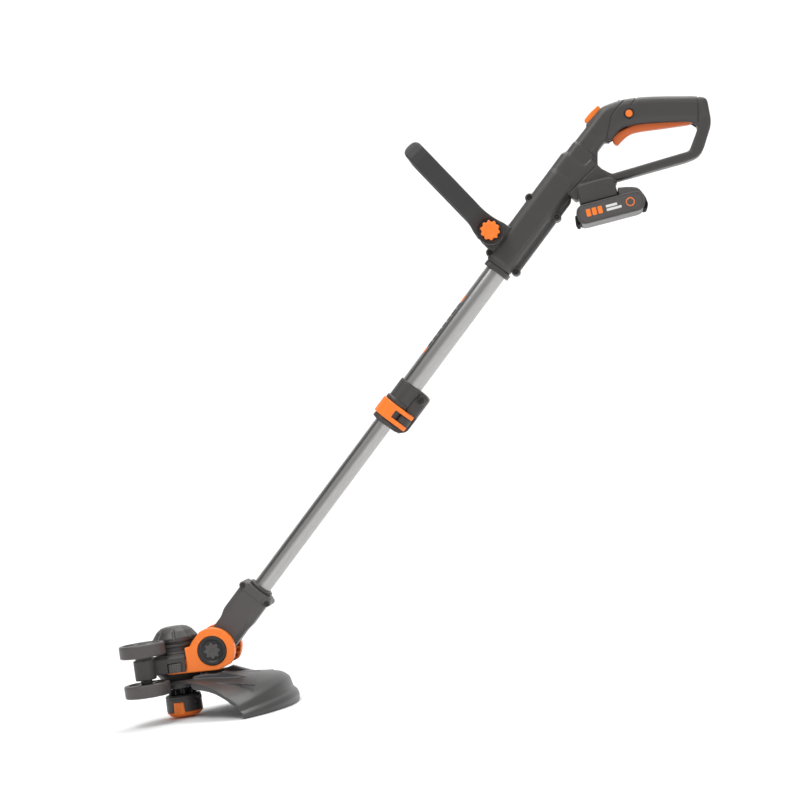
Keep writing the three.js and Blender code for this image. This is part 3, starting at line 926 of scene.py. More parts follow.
class Look(Enum):
    """The trimmer's finishes."""

    CHARCOAL = Finish("charcoal_plastic", "charcoal", (0.050, 0.047, 0.045), 0.44)
    PANEL = Finish("charcoal_panel", "charcoal", (0.078, 0.072, 0.070), 0.44, grain=1900.0)
    GUARD = Finish("guard_plastic", "charcoal", (0.056, 0.055, 0.054), 0.40, relief=0.02)
    RUBBER = Finish(
        "soft_rubber", "soft_black", (0.022, 0.022, 0.022), 0.60, relief=0.04, sheen=0.12, wear_and_highlight=0.2
    )
    BLACK = Finish("black_plastic", "black", (0.016, 0.016, 0.017), 0.45, wear_and_highlight=0.3)
    # Near-black with its highlight turned almost off: painted shade for the pack's underside and hooks, which
    # the floor would otherwise light.
    SHADE = Finish("matt_black_painted_shade", "black", (0.014, 0.014, 0.015), 0.85, wear_and_highlight=0.1, specular=0.05)
    WHEEL = Finish("wheel_plastic", "wheel", (0.078, 0.070, 0.068), 0.40, relief=0.02)
    ORANGE = Finish(
        "orange_plastic", "orange", (1.0, 0.215, 0.020), 0.38, mottle=0.03, wear_and_highlight=0.25, worn_and_highlight=(1.0, 0.40, 0.15),
        relief=0.012, gloss_swing=0.08,
    )
    # A darker copy of the orange: painted shade for the trigger.
    SHADED_ORANGE = Finish(
        "orange_shaded", "orange", (0.66, 0.135, 0.028), 0.48, mottle=0.04, wear_and_highlight=0.25, worn_and_highlight=(0.9, 0.3, 0.1),
        relief=0.015,
    )
    TUBE = Finish(
        "satin_aluminium", "tube", (0.40, 0.395, 0.39), 0.30, metallic=1.0, grain=1400.0, relief=0.004,
        mottle=0.05, wear_and_highlight=0.1, worn_and_highlight=(0.8, 0.8, 0.8), stretch=60.0, gloss_swing=0.10,
    )
    STEEL = Finish(
        "dark_steel", "steel", (0.30, 0.30, 0.31), 0.36, metallic=1.0, relief=0.01, wear_and_highlight=0.4,
        worn_and_highlight=(0.7, 0.7, 0.72),
    )
    COPPER = Finish("copper_wire", "copper", (0.60, 0.27, 0.12), 0.38, metallic=1.0, worn_and_highlight=(0.8, 0.45, 0.25))
    BOARD = Finish("circuit_board", "board", (0.012, 0.07, 0.035), 0.42, worn_and_highlight=(0.1, 0.25, 0.15))
    LINE = Finish("nylon_line", "line", (0.78, 0.42, 0.04), 0.35, worn_and_highlight=(0.9, 0.6, 0.2))
    MARK = Finish(
        "white_mark", "charcoal", (0.72, 0.72, 0.70), 0.5, wear_and_highlight=0.1, worn_and_highlight=(0.8, 0.8, 0.8), relief=0.01
    )


class Palette:
    """The built materials, one for each look."""

    def __init__(self) -> None:
        """Builds every finish."""
        self.made = {look: look.value.build() for look in Look}

    def material(self, look: Look) -> bpy.types.Material:
        """The material of a look."""
        return self.made[look]


# ---------------------------------------------------------------- assemblies
class Assembly:
    """Pieces that are built in one frame."""

    def __init__(self, place: Place, palette: Palette) -> None:
        """Keeps the frame and the finishes."""
        self.place = place
        self.palette = palette

    def put(
        self,
        name: str,
        surface: Union[Surface, Sculpt],
        look: Look,
        body: str,
        replaces: Sequence[str] = (),
        place: Optional[Place] = None,
        sharp: float = 32.0,
    ) -> bpy.types.Object:
        """Makes a piece that rides on a CAD body.

        Args:
            name: the piece's name.
            surface: its skin, or the sculpt to take it from.
            look: its finish.
            body: the CAD body that it moves with.
            replaces: CAD nodes that it stands for.
            place: its frame, where that isn't the assembly's.
            sharp: degrees above which an edge without field normals is drawn sharp.

        Returns:
            The object.
        """
        skin = surface.surface() if isinstance(surface, Sculpt) else surface
        where = place or self.place
        points = where.points(skin.points)
        mesh = bpy.data.meshes.new(name)
        faces = outward(points, skin.faces)
        sizes = np.concatenate([np.full(len(part), part.shape[1]) for part in faces])
        mesh.vertices.add(len(points))
        mesh.vertices.foreach_set("co", points.astype(np.float32).ravel())
        mesh.loops.add(int(sizes.sum()))
        mesh.loops.foreach_set(
            "vertex_index", np.concatenate([part.ravel() for part in faces]).astype(np.int32)
        )
        mesh.polygons.add(len(sizes))
        mesh.polygons.foreach_set("loop_start", np.concatenate([[0], np.cumsum(sizes)[:-1]]).astype(np.int32))
        mesh.update(calc_edges=True)
        mesh.validate()
        mesh.shade_smooth()
        if skin.normals is None:
            mesh.set_sharp_from_angle(angle=math.radians(sharp))
        else:
            mesh.normals_split_custom_set_from_vertices(where.directions(skin.normals))
        mesh.materials.append(self.palette.material(look))
        made = bpy.data.objects.new(name, mesh)
        bpy.context.scene.collection.objects.link(made)
        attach(made, body)
        if replaces:
            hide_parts(*replaces)
        LOG.info("%s: %d faces, rides %s", name, len(sizes), body)
        return made


def outward(points: Array, faces: list[Array]) -> list[Array]:
    """The faces turned so that the skin's volume is positive."""
    volume = 0.0
    for part in faces:
        for k in range(1, part.shape[1] - 1):
            a, b, c = (points[part[:, i]] for i in (0, k, k + 1))
            volume += float((a * np.cross(b, c)).sum())
    return faces if volume > 0 else [part[:, ::-1] for part in faces]


def screw(radius: float, height: float, step: float = 0.25) -> Sculpt:
    """A pan-head screw with a six-lobed socket, its face at z = 0 and its body below.

    Args:
        radius: of the head.
        height: of the head.
        step: the grid's spacing.

    Returns:
        The sculpted screw.
    """
    made = Sculpt((-radius, -radius, -height), (radius, radius, 0.2), step)
    made.add(Rod(radius, -height, 0.0, min(0.6, height / 3)))
    made.cut(Slab(circle(radius * 0.42, 48, 6, radius * 0.07), -height * 0.6, 2.0, 0.1, Side.XY))
    return made


def facing(place: Place, x: float, y: float, z: float, sign: float) -> Place:
    """A frame at a local point whose z axis points along local y, or against it for sign -1."""
    turn = np.array([[1.0, 0.0, 0.0], [0.0, 0.0, sign], [0.0, -sign, 0.0]])
    return Place(place.points(np.array([[x, y, z]], float))[0], place.turn @ turn)


# ---------------------------------------------------------------- rear handle
class Housing(Assembly):
    """The two moulded halves of the barrel, grip, hand loop and battery boot."""

    barrel = oblong(-20.8, -20.5, 17.5, 20.5, 13)
    crown = [(-24.6, -20.8, 13), (18.0, -20.8, 12), (18.0, 20.8, 12), (-24.6, 20.8, 13)]
    cheeks = [(-21.5, -23.2, 13), (17.0, -23.2, 11), (17.0, 23.2, 11), (-21.5, 23.2, 13)]
    flange = [(8, 675, 2), (26.4, 675, 5), (26.4, 799, 5), (14, 812, 5), (8, 812, 2)]
    grip = [
        (-21.5, 838, 6), (-20, 852, 8), (-19.2, 893, 8), (-18.9, 929, 8), (-1.6, 954.5, 16), (24.3, 978, 25),
        (78, 1017.4, 12), (90.5, 1023.5, 7), (110, 1005, 8), (103.6, 988, 6), (91, 983, 7), (62, 960.5, 20),
        (35, 937.5, 12), (21, 921, 8), (20.5, 899, 4), (13.6, 893, 4), (13.2, 876.5, 3), (26.4, 858.8, 3),
        (28, 818, 8), (20, 806, 4),
    ]
    loop = [
        (62, 861, 10), (123, 939, 8), (132.5, 956, 13), (117, 999.5, 10), (90.5, 1023.5, 7), (60, 1000),
        (10, 955), (-12, 900), (8, 830), (26, 818, 8),
    ]
    hole = [
        (13.2, 876.5, 3), (26.4, 858.8, 3), (48.4, 862.3, 3), (115.4, 950.3, 4), (105.4, 984.6, 5),
        (92, 983.6, 6), (62, 960.5, 20), (35, 937.5, 12), (21, 921, 8), (20.5, 899, 4), (13.6, 893, 4),
    ]
    web = [(4, 806), (31, 803, 3), (52, 842, 6), (64, 858, 6), (40, 858, 6), (14, 862)]
    boot = [
        (-38.5, 13.4, 1.0), (14.5, 13.4, 1.0), (14.5, 38.5, 4), (8, 42.0, 5), (-34, 42.0, 5), (-38.5, 36.5, 4)
    ]
    lug = [
        (-15.8, 677.5), (-30, 677.8, 6), (-47, 682, 10), (-57.0, 698.8, 14), (-47, 716, 10), (-30, 719.5, 8),
        (-15.8, 719.2),
    ]
    trigger_room = [
        (9, 912), (19, 890), (36, 892), (41, 924), (102, 980), (104, 994), (92, 1001), (52, 978), (20, 950),
        (9, 930),
    ]
    bosses = [(-23.3, 768.5), (23.0, 769.6), (22.5, 675.5), (-21.5, 675.5)]
    seams = [
        [(1.0, 953.0), (0.3, 938.8), (0.2, 925.1), (13.9, 896.0)],
        [(12.6, 969.0), (13.6, 951.4)],
        [(77.5, 1021.0), (102.0, 988.0)],
        [(17.6, 806.0), (21.5, 838.0), (24.5, 856.0)],
        [(-17.6, 677.0), (-17.6, 720.0)],
    ]
    lock = (18.1, 942.4)

    def solid(self, sign: float) -> Sculpt:
        """One half, uncut: sign -1 is the near one."""
        low, high = (-62.0, min(sign, 0) * 38.0, 665.5), (136.0, max(sign, 0) * 38.0, 1028.0)
        made = Sculpt(low, high, 0.55)
        made.add(Slab(self.barrel, 666, 868, 2.5, Side.XY))
        made.add(Slab(self.crown, 675, 848, 5.0, Side.XY), 4)
        made.add(Slab(self.cheeks, 672, 820, 5.0, Side.XY), 4)
        made.add(HoledSlab(self.loop, -14.5, 14.5, 4.0, hole=self.hole))
        made.add(Slab(self.grip, -17.2, 17.2, 11.0), 2)
        made.add(Slab(self.flange, -9.5, 9.5, 4.0), 2)
        made.add(Slab(self.web, -20, 20, 2.0), 1.5)
        boot = Slab(self.boot, -30, 30, 3.2)
        made.add(Posed(boot, (75.7, 0, 822.4), PACK_LEAN), 1.5)
        made.add(Slab(self.lug, -22, 22, 1.2), 0.5)
        for x, s in self.bosses:
            made.add(Rod(6.2, -14.5, 14.5, 1.4, Side.XZ, (x, s)), 1.2)
        made.add(Slab([(-21.6, 895, 3), (-9, 895, 2), (-7, 932, 2), (-17.2, 931, 4)], -10, 10, 2.5), 2)
        return made

    def rooms(self, made: Sculpt) -> Sculpt:
        """Cuts the rooms that the moving and inner parts need."""
        made.cut(Rod(15.55, 650, 840.3, 0.2))
        made.cut(Rod(8, 835, 872, 0.2))
        made.cut(Brick((-10, -2.2, 839), (11, 2.2, 884), 0.2))
        made.cut(Slab(self.trigger_room, -8.7, 8.7, 0.8))
        made.cut(Brick((-6, -7, 931), (8, 7, 951), 0.2))
        made.cut(Rod(5.2, -30, 30, 0.2, Side.XZ, self.lock))
        made.cut(Slab([(-40, 897.5), (-11, 896), (-7, 926), (-40, 930.5)], -7.4, 7.4, 0.3))
        made.cut(Rod(4.3, -30, 30, 0.2, Side.XZ, (-37.8, 698.8)))
        made.cut(Rod(2.2, -12, 12, 0.2, Side.XZ, (92, 990)))
        made.cut(Posed(Brick((-31, -12.3, 5), (-4, 12.3, 29.3), 0.3), (75.7, 0, 822.4), PACK_LEAN))
        made.cut(Posed(Brick((-39.4, -24.3, 8), (60, 24.3, 15.5), 0.3), (75.7, 0, 822.4), PACK_LEAN))
        return made

    def half(self, sign: float) -> Sculpt:
        """One finished half: sign -1 is the near one."""
        made = self.solid(sign)
        for line in self.seams:
            made.engrave(Slab(ribbon(line, 1.4), -40, 40, 0.1), 1.2)
        made.engrave(Slab(ribbon([(-19.5, 744), (-19.5, 812), (-2, 838)], 0.9), -4.0, 4.0, 0.1), 0.5)
        made = self.rooms(made)
        outer = 40.0 * sign
        ends = sorted((15.4 * sign, outer))
        made.cut(Rod(7.3, ends[0], ends[1], 0.2, Side.XZ, self.lock))
        for x, s in self.bosses:
            deep = sorted((11.5 * sign, outer))
            made.cut(Rod(3.5, deep[0], deep[1], 0.3, Side.XZ, (x, s)))
        across = sorted((0.15 * sign, -outer))
        made.cut(Brick((-200, across[0], 500), (300, across[1], 1200), 0.0))
        return made

    def build(self) -> None:
        """Both halves, their screws, the ring at the barrel's mouth and the trim at the trigger."""
        self.put("housing_near", self.half(-1), Look.CHARCOAL, "handle", ["handle_half_near"])
        self.put("housing_far", self.half(1), Look.CHARCOAL, "handle", ["handle_half_far"])
        head = screw(3.1, 3.0).surface()
        for index, (x, s) in enumerate(self.bosses):
            spot = facing(self.place, x, -12.3, s, -1)
            self.put(f"barrel_screw_{index + 1}", head, Look.BLACK, "handle", place=spot)
        collar = Sculpt((-21, -21, 657), (21, 21, 667), 0.35)
        collar.add(Slab(oblong(-19.6, -19.6, 19.6, 19.6, 13), 658, 665.7, 1.4, Side.XY))
        collar.cut(Rod(15.55, 650, 670, 0.1))
        self.put("barrel_collar", collar, Look.CHARCOAL, "handle", ["barrel_ring"])
        for side, name in ((-1, "near"), (1, "far")):
            ends = sorted((15.6 * side, 17.3 * side))
            ring = Sculpt((8, ends[0], 933), (26, ends[1], 952), 0.25)
            ring.add(Rod(7.0, ends[0], ends[1], 0.5, Side.XZ, self.lock))
            ring.cut(Rod(5.25, -30, 30, 0.1, Side.XZ, self.lock))
            self.put(f"lock_ring_{name}", ring, Look.BLACK, "handle")
        lip = Sculpt((10, -9, 888), (22, 9, 902), 0.35)
        lip.add(
            Slab([(10.5, 897.5, 1), (12.3, 890.5, 2), (19.9, 895.5, 1.5), (18.4, 900.6, 1)], -8.2, 8.2, 1.0)
        )
        self.put("trigger_lip", lip, Look.BLACK, "handle")


class Controls(Assembly):
    """Trigger, lock-off bolt and line-feed button."""

    blade = [
        (17.2, 903.6, 2), (25.3, 898.0, 1.5), (31.0, 899.0, 2.5), (33.2, 917, 8), (39.4, 928.2, 11),
        (68.6, 956.2, 14), (93.6, 980.6, 5), (98, 990, 5), (91, 996.5, 5), (62, 966, 10), (33, 938, 8),
        (22, 918, 6),
    ]
    feed = [(-27.6, 899.6, 2.6), (-15, 898, 1.5), (-12, 924, 1.5), (-24.0, 928.2, 2.8), (-27.0, 913.5, 3)]

    def build(self) -> None:
        """All three, each on its own body."""
        trigger = Sculpt((15, -9, 894), (101, 9, 999), 0.4)
        trigger.add(Slab(self.blade, -8, 8, 3.0))
        trigger.cut(Rod(2.4, -12, 12, 0.1, Side.XZ, (92, 990)))
        # The trigger wears the darker orange copy, painted shade.
        self.put("trigger_blade", trigger, Look.SHADED_ORANGE, "trigger_body", ["trigger"])
        bolt = Sculpt((10, -20, 935), (24, 20, 950), 0.3)
        bolt.add(Rod(4.9, -19.3, 19.3, 1.0, Side.XZ, Housing.lock))
        self.put("lock_bolt", bolt, Look.ORANGE, "lock_off", ["lock_off_button"])
        button = Sculpt((-30, -8, 895), (-10, 8, 931), 0.3)
        button.add(Slab(self.feed, -6.9, 6.9, 1.6))
        for step in range(5):
            rib = Posed(
                Brick((-1.2, -4.6, -0.5), (0.7, 4.6, 0.5), 0.3), (-27.0 + 0.55 * step, 0, 904.5 + 4.4 * step),
                -10
            )
            button.cut(rib, 0.4)
        self.put("feed_wedge", button, Look.ORANGE, "feed", ["feed_button"])


# ---------------------------------------------------------------- battery
class Battery(Assembly):
    """The slide-on pack: case, cheeks with plain marks, rails, hooks and latch."""

    mark_face = (-36.1, -35.4)
    case = [
        (-47.5, -8, 4), (-39, -12.9, 5), (38, -12.9, 5), (48, -8, 6), (50.4, 1.5, 4), (43.5, 17.2, 6),
        (30, 21.6, 8), (15.8, 23.8, 2), (15.8, 12.4, 0.5), (-40, 12.4, 4), (-47.5, 6, 5),
    ]
    cheek = [
        (-47.2, -14.4, 12), (47.2, -14.4, 12), (47.2, 13.0, 12), (-47.2, 13.0, 12),
    ]

    def shell(self) -> Sculpt:
        """The case with its side cheeks and the rooms for the cells and the rails."""
        made = Sculpt((-51, -36.5, -17), (52, 36.5, 26), 0.5)
        made.add(Slab(self.case, -32.5, 32.5, 2.5))
        made.add(Slab(self.cheek, -35.8, 35.8, 1.8), 0.8)
        made.cut(Brick((-44, -31, -11.7), (43, 31, 8.3), 0.5))
        made.cut(Brick((-44, -31, -11.7), (-30, 31, 30), 0.5))
        made.cut(Brick((-39.2, -24.0, 8.0), (15.9, 24.0, 30), 0.3))
        made.cut(Brick((40, -8.6, -4.6), (54, 8.6, 6.6), 0.6))
        for side in (-1, 1):
            ends = sorted((34.9 * side, 37.0 * side))
            made.cut(HoledSlab(
                oblong(-45.4, -12.6, 45.4, 11.2, 11), ends[0], ends[1], 0.1,
                hole=oblong(-44.6, -11.8, 44.6, 10.4, 10.5),
            ))
        return made

    def marks(self) -> None:
        """Plain bars and a ring on the near cheek."""
        bars = Sculpt((-36, -36.4, -7), (6, -35.2, 7), 0.2)
        for k in range(3):
            left = -34.0 + 8.2 * k
            bars.add(Slab(oblong(left, -5.2, left + 6.2, 5.2, 1.2), *self.mark_face, 0.1))
        self.put("mark_orange", bars, Look.ORANGE, "battery")
        plain = Sculpt((-8, -36.4, -6), (24, -35.2, 6), 0.2)
        for k in range(2):
            low = -4.4 + 4.9 * k
            plain.add(Slab(oblong(-6, low, 15 - 5 * k, low + 3.5, 0.8), *self.mark_face, 0.1))
        self.put("mark_white", plain, Look.MARK, "battery")
        ring = Sculpt((20, -36.4, -7), (38, -35.2, 7), 0.2)
        ring.add(
            HoledSlab(
                circle(6.0), *self.mark_face, 0.1, centre=(28, 0.2), hole=[tuple(p) for p in circle(4.7)]
            )
        )
        self.put("mark_ring", ring, Look.ORANGE, "battery")

    def build(self) -> None:
        """Every shown piece of the pack."""
        self.put("pack_case", self.shell(), Look.PANEL, "battery", ["battery_case"])
        rails = Sculpt((-40, -31, 8), (43, 31, 17), 0.4)
        rails.add(Brick((-38.7, -23.7, 8.6), (15.6, 23.7, 12.6), 0.4))
        rails.add(Brick((-36.0, -21.6, 9.6), (15.4, 21.6, 15.0), 0.6))
        rails.cut(Brick((-60, -13, 9.9), (-4, 13, 30), 0.4))
        self.put("pack_rails", rails, Look.CHARCOAL, "battery", ["battery_lid"])
        hooks = {
            "rear": [(43.5, -13.2, 2), (49.2, -13.2, 2), (51.0, -8, 2), (50.0, 3, 2), (43.5, 3, 1)],
            "front": [(-45.0, -13.2, 2), (-49.2, -13.2, 2), (-51.0, -8, 2), (-50.0, 1, 2), (-45.0, 1, 1)],
        }
        for name, outline in hooks.items():
            ends = sorted((outline[0][0], outline[2][0]))
            hook = Sculpt((ends[0], -33, -17), (ends[1], 33, 6), 0.4)
            hook.add(Slab(outline, -31.5, 31.5, 1.2))
            hook.cut(Brick((40, -8.9, -5.0), (54, 8.9, 7.0), 0.3))
            # The hooks take the painted-shade black, so their undersides stay dark.
            self.put(f"pack_hook_{name}", hook, Look.SHADE, "battery")
        for side, name in ((-1, "near"), (1, "far")):
            ends = sorted((30.9 * side, 32.3 * side))
            strip = Sculpt((-36, ends[0], -14.2), (37, ends[1], -12.7), 0.25)
            strip.add(Brick((-35, ends[0], -14.0), (36, ends[1], -12.8), 0.3))
            self.put(f"pack_strip_{name}", strip, Look.ORANGE, "battery")
        # A near-black plate under the case in the painted-shade black: painted shade that keeps the underside
        # dark.
        base = Sculpt((-38, -31, -13.7), (38, 31, -12.6), 0.3)
        base.add(Brick((-37, -30.7, -13.3), (37, 30.7, -12.8), 0.2))
        for k in range(5):
            base.add(Brick((-30 + 14 * k, -26, -13.6), (-26 + 14 * k, 26, -13.0), 0.2))
        self.put("pack_base", base, Look.SHADE, "battery")
        latch = Sculpt((42, -9, -5), (52, 9, 7), 0.3)
        latch.add(Brick((43.5, -8, -4), (50.2, 8, 6), 1.2))
        for k in range(3):
            latch.cut(Brick((49.6, -6, -2.0 + 2.6 * k), (52, 6, -0.9 + 2.6 * k), 0.2), 0.3)
        self.put("latch_button", latch, Look.ORANGE, "latch", ["battery_latch"])
        self.marks()


# ---------------------------------------------------------------- tubes and clamp
class Tubes(Assembly):
    """The two aluminium tubes and the plain dashes printed on the upper one."""

    def tube(self, outer: float, inner: float, low: float, high: float) -> Surface:
        """A tube with eased ends."""
        return turned_surface(
            [(inner, low), (outer, low, 0.5), (outer, high, 0.5), (inner, high)], segments=128
        )

    def dash(self, low: float, high: float, angle: float, width: float) -> Surface:
        """A thin printed plate on the upper tube."""
        turn = np.radians(angle + np.linspace(-width / 2, width / 2, 5))
        rows = [
            np.stack([r * np.cos(turn), r * np.sin(turn), np.full(5, s)], axis=1)
            for s, r in ((low, 15.3), (low, 15.4), (high, 15.4), (high, 15.3))
        ]
        points = np.concatenate(rows)
        quads = [[a, a + 1, a + 6, a + 5] for row in range(3) for a in range(row * 5, row * 5 + 4)]
        quads += [[a + 15, a + 16, a + 1, a] for a in range(4)]
        quads += [[0, 5, 10, 15], [19, 14, 9, 4]]
        return Surface(points, [np.array(quads, np.int32)])

    def build(self) -> None:
        """Both tubes and the dashes."""
        self.put("tube_upper", self.tube(15.25, 13.75, 428, 840), Look.TUBE, "handle", ["upper_tube"])
        self.put("tube_lower", self.tube(12.7, 11.5, 34, 640), Look.TUBE, "lower_shaft", ["lower_tube"])
        runs = [(520, 528), (531, 538), (541, 550), (553, 561), (564, 571), (574, 584), (587, 594)]
        for index, (low, high) in enumerate(runs):
            self.put(f"tube_dash_{index + 1}", self.dash(low, high, 203, 18), Look.BLACK, "handle")
        for name, low, high in (("tube_dash_end_1", 508, 517), ("tube_dash_end_2", 597, 608)):
            self.put(name, self.dash(low, high, 203, 18), Look.ORANGE, "handle")


class Clamp(Assembly):
    """The lever clamp between the tubes."""

    ear = [(6, -13.5), (33.4, -13.5, 6), (33.4, 13.5, 6), (6, 13.5)]
    ear_side = [
        (-30, 395.6), (24, 395.6, 9), (33.8, 404, 9), (33.8, 436, 3), (34.4, 452, 4), (32.4, 461.5, 10),
        (18, 463, 2), (-30, 463),
    ]

    def body(self) -> Sculpt:
        """The moulded body with its collars, ear and lever groove."""
        made = Sculpt((-24, -24, 394), (36, 24, 464), 0.4)
        made.add(Rod(17.6, 430, 463, 1.2))
        made.add(Rod(20.0, 428.2, 434, 1.4), 1.0)
        made.add(Rod(19.4, 396, 403.2, 2.4))
        made.add(Rod(18.4, 400, 432, 0.3))
        made.add(Slab(self.ear, 395, 463, 2.0, Side.XY), 1.5)
        made.keep(Slab(self.ear_side, -40, 40, 2.2), 0.5)
        groove = made.blank()
        groove.add(Rod(60, 403.0, 428.5, 0.1))
        groove.cut(Rod(18.4, 380, 480, 0.1))
        groove.keep(Brick((-60, -60, 380), (60, -3, 480), 0.1))
        made.without(groove)
        made.add(Slab([(14, -17, 2), (30.5, -17, 4), (31, -6, 4), (14, -4, 2)], 410.6, 420.9, 0.6, Side.XY))
        made.add(Rod(7.0, -16.5, 10, 1.0, Side.XZ, (23.2, 452.6)), 1.0)
        made.engrave(Slab(ribbon([(15.5, 428), (15.6, 444), (18.5, 459)], 2.0), -30, -2, 0.1), 1.9)
        made.cut(Rod(4.9, -30, -13.9, 0.3, Side.XZ, (23.2, 452.6)))
        made.cut(Rod(2.8, -30, 30, 0.1, Side.XZ, (23.2, 452.6)))
        made.cut(Rod(15.3, 380, 427.7, 0.2))
        made.cut(Rod(15.55, 427.7, 480, 0.2))
        made.cut(Brick((10, -0.8, 380), (40, 0.8, 480), 0.1))
        made.cut(Posed(Rod(1.9, 380, 436, 0.1), (25.5, -11, 0)))
        return made

    def lever(self) -> Sculpt:
        """The orange band round the near side, with its slot and pin eye."""
        made = Sculpt((-24, -24, 402), (32, 12, 429), 0.35)
        sector = [(0.0, 0.0)] + [
            (
                60 * math.cos(math.radians(a)), 60 * math.sin(math.radians(a))
            ) for a in np.linspace(-42, -203, 15)
        ]
        made.add(Rod(22.0, 403.6, 427.9, 1.0))
        made.cut(Rod(18.8, 380, 480, 0.1))
        made.keep(Slab(np.array(sector), 380, 480, 0.1, Side.XY))
        arm = [
            (6, -21.4, 1), (14, -17.5, 1), (24, -15.5), (24.5, -11), (29, -14.5), (22, -19.5, 2),
            (14, -21.9, 2)
        ]
        made.add(Slab(arm, 403.6, 427.9, 0.8, Side.XY), 0.8)
        made.add(Posed(Rod(5.0, 403.6, 427.9, 0.8), (25.5, -11, 0)), 0.8)
        made.cut(Brick((4.5, -40, 410.0), (40, 0, 421.5), 0.8), 0.6)
        made.cut(Posed(Rod(2.2, 380, 480, 0.1), (25.5, -11, 0)))
        for k in range(6):
            made.cut(Posed(Brick((21.6, -0.6, 407), (24, 0.6, 424.5), 0.5), swing=-176.0 + 4.2 * k), 0.3)
        return made

    def build(self) -> None:
        """Body, lever and bolt."""
        self.put("clamp_shell", self.body(), Look.CHARCOAL, "handle", ["clamp_body"])
        self.put("clamp_band", self.lever(), Look.ORANGE, "lever", ["clamp_lever"])
        spot = facing(self.place, 23.2, -17.2, 452.6, -1)
        bolt = Sculpt((-4.2, -4.2, -29), (4.2, 4.2, 0.2), 0.25)
        bolt.add(Rod(4.2, -3.2, 0, 0.6))
        bolt.cut(Slab(circle(1.9, 6), -2.2, 1, 0.1, Side.XY))
        bolt.add(Rod(2.6, -28, -2.6, 0.3))
        self.put("clamp_bolt_head", bolt, Look.BLACK, "handle", ["clamp_screw"], place=spot)


# ---------------------------------------------------------------- second handle
class SecondHandle(Assembly):
    """The loop handle with its lobed knob."""

    loop = [
        (4, -34.5), (-14, -34.5, 8), (-44, -56, 20), (-165, -56, 30), (-165, 56, 30), (-44, 56, 20),
        (-14, 34.5, 8), (4, 34.5), (4, 22.3), (-16, 22.3, 8), (-42, 43, 18), (-151, 43, 18), (-151, -43, 18),
        (-42, -43, 18), (-16, -22.3, 8), (4, -22.3),
    ]

    def handle(self) -> Sculpt:
        """The loop and its two eyes."""
        made = Sculpt((-169, -59, -21), (21, 59, 21), 0.6)
        made.add(Slab(self.loop, -20, 20, 3.0, Side.XY))
        for side in (-1, 1):
            ends = sorted((22.3 * side, 34.3 * side))
            made.add(Rod(19.0, ends[0], ends[1], 1.6, Side.XZ), 1.0)
        reach = 13.2
        tip = [
            (
                reach * math.cos(a) - 152.0, reach * math.sin(a)
            ) for a in np.linspace(math.pi / 2, 1.5 * math.pi, 17)
        ]
        flare = [
            (-40, -13.2, 8), (-27, -14.6, 8), (-13, -18.8, 6), (0, -20.0, 6), (19.2, -17, 12), (19.2, 17, 12),
            (0, 19.0, 8), (-11, 15.8, 8), (-27, 12.9, 8),
        ]
        made.keep(Slab(rounded(tip + flare), -60, 60, 3.0), 3.0)
        keep = made.blank()
        keep.add(Rod(19.0, -60, 60, 0.1, Side.XZ))
        keep.add(Slab([(-180, -30), (-8, -30), (-8, 30), (-180, 30)], -60, 60, 0.1))
        made.within(keep)
        for side in (-1, 1):
            ends = sorted((33.2 * side, 40 * side))
            made.cut(HoledSlab(circle(17.2), ends[0], ends[1], 0.1, hole=[tuple(p) for p in circle(16.2)]))
        made.cut(Rod(14.6, -40, -33.0, 0.4, Side.XZ))
        made.cut(Rod(4.3, -60, 60, 0.1, Side.XZ))
        made.cut(Rod(8.2, 33.2, 60, 0.3, Side.XZ))
        return made

    def knob(self) -> Sculpt:
        """The lobed knob with a plain dished centre."""
        made = Sculpt((-15, -47, -15), (15, -34, 15), 0.28)
        made.add(Slab(circle(12.6, 160, 10, 1.0, 2.2), -46, -34.9, 1.3))
        made.cut(Rod(7.2, -60, -45.2, 0.6, Side.XZ), 0.5)
        made.cut(Rod(4.2, -44.0, -30, 0.1, Side.XZ))
        return made

    def build(self) -> None:
        """Loop and knob."""
        self.put("loop_handle", self.handle(), Look.RUBBER, "second_handle", ["aux_handle"])
        self.put("loop_knob", self.knob(), Look.ORANGE, "knob", ["aux_knob"])


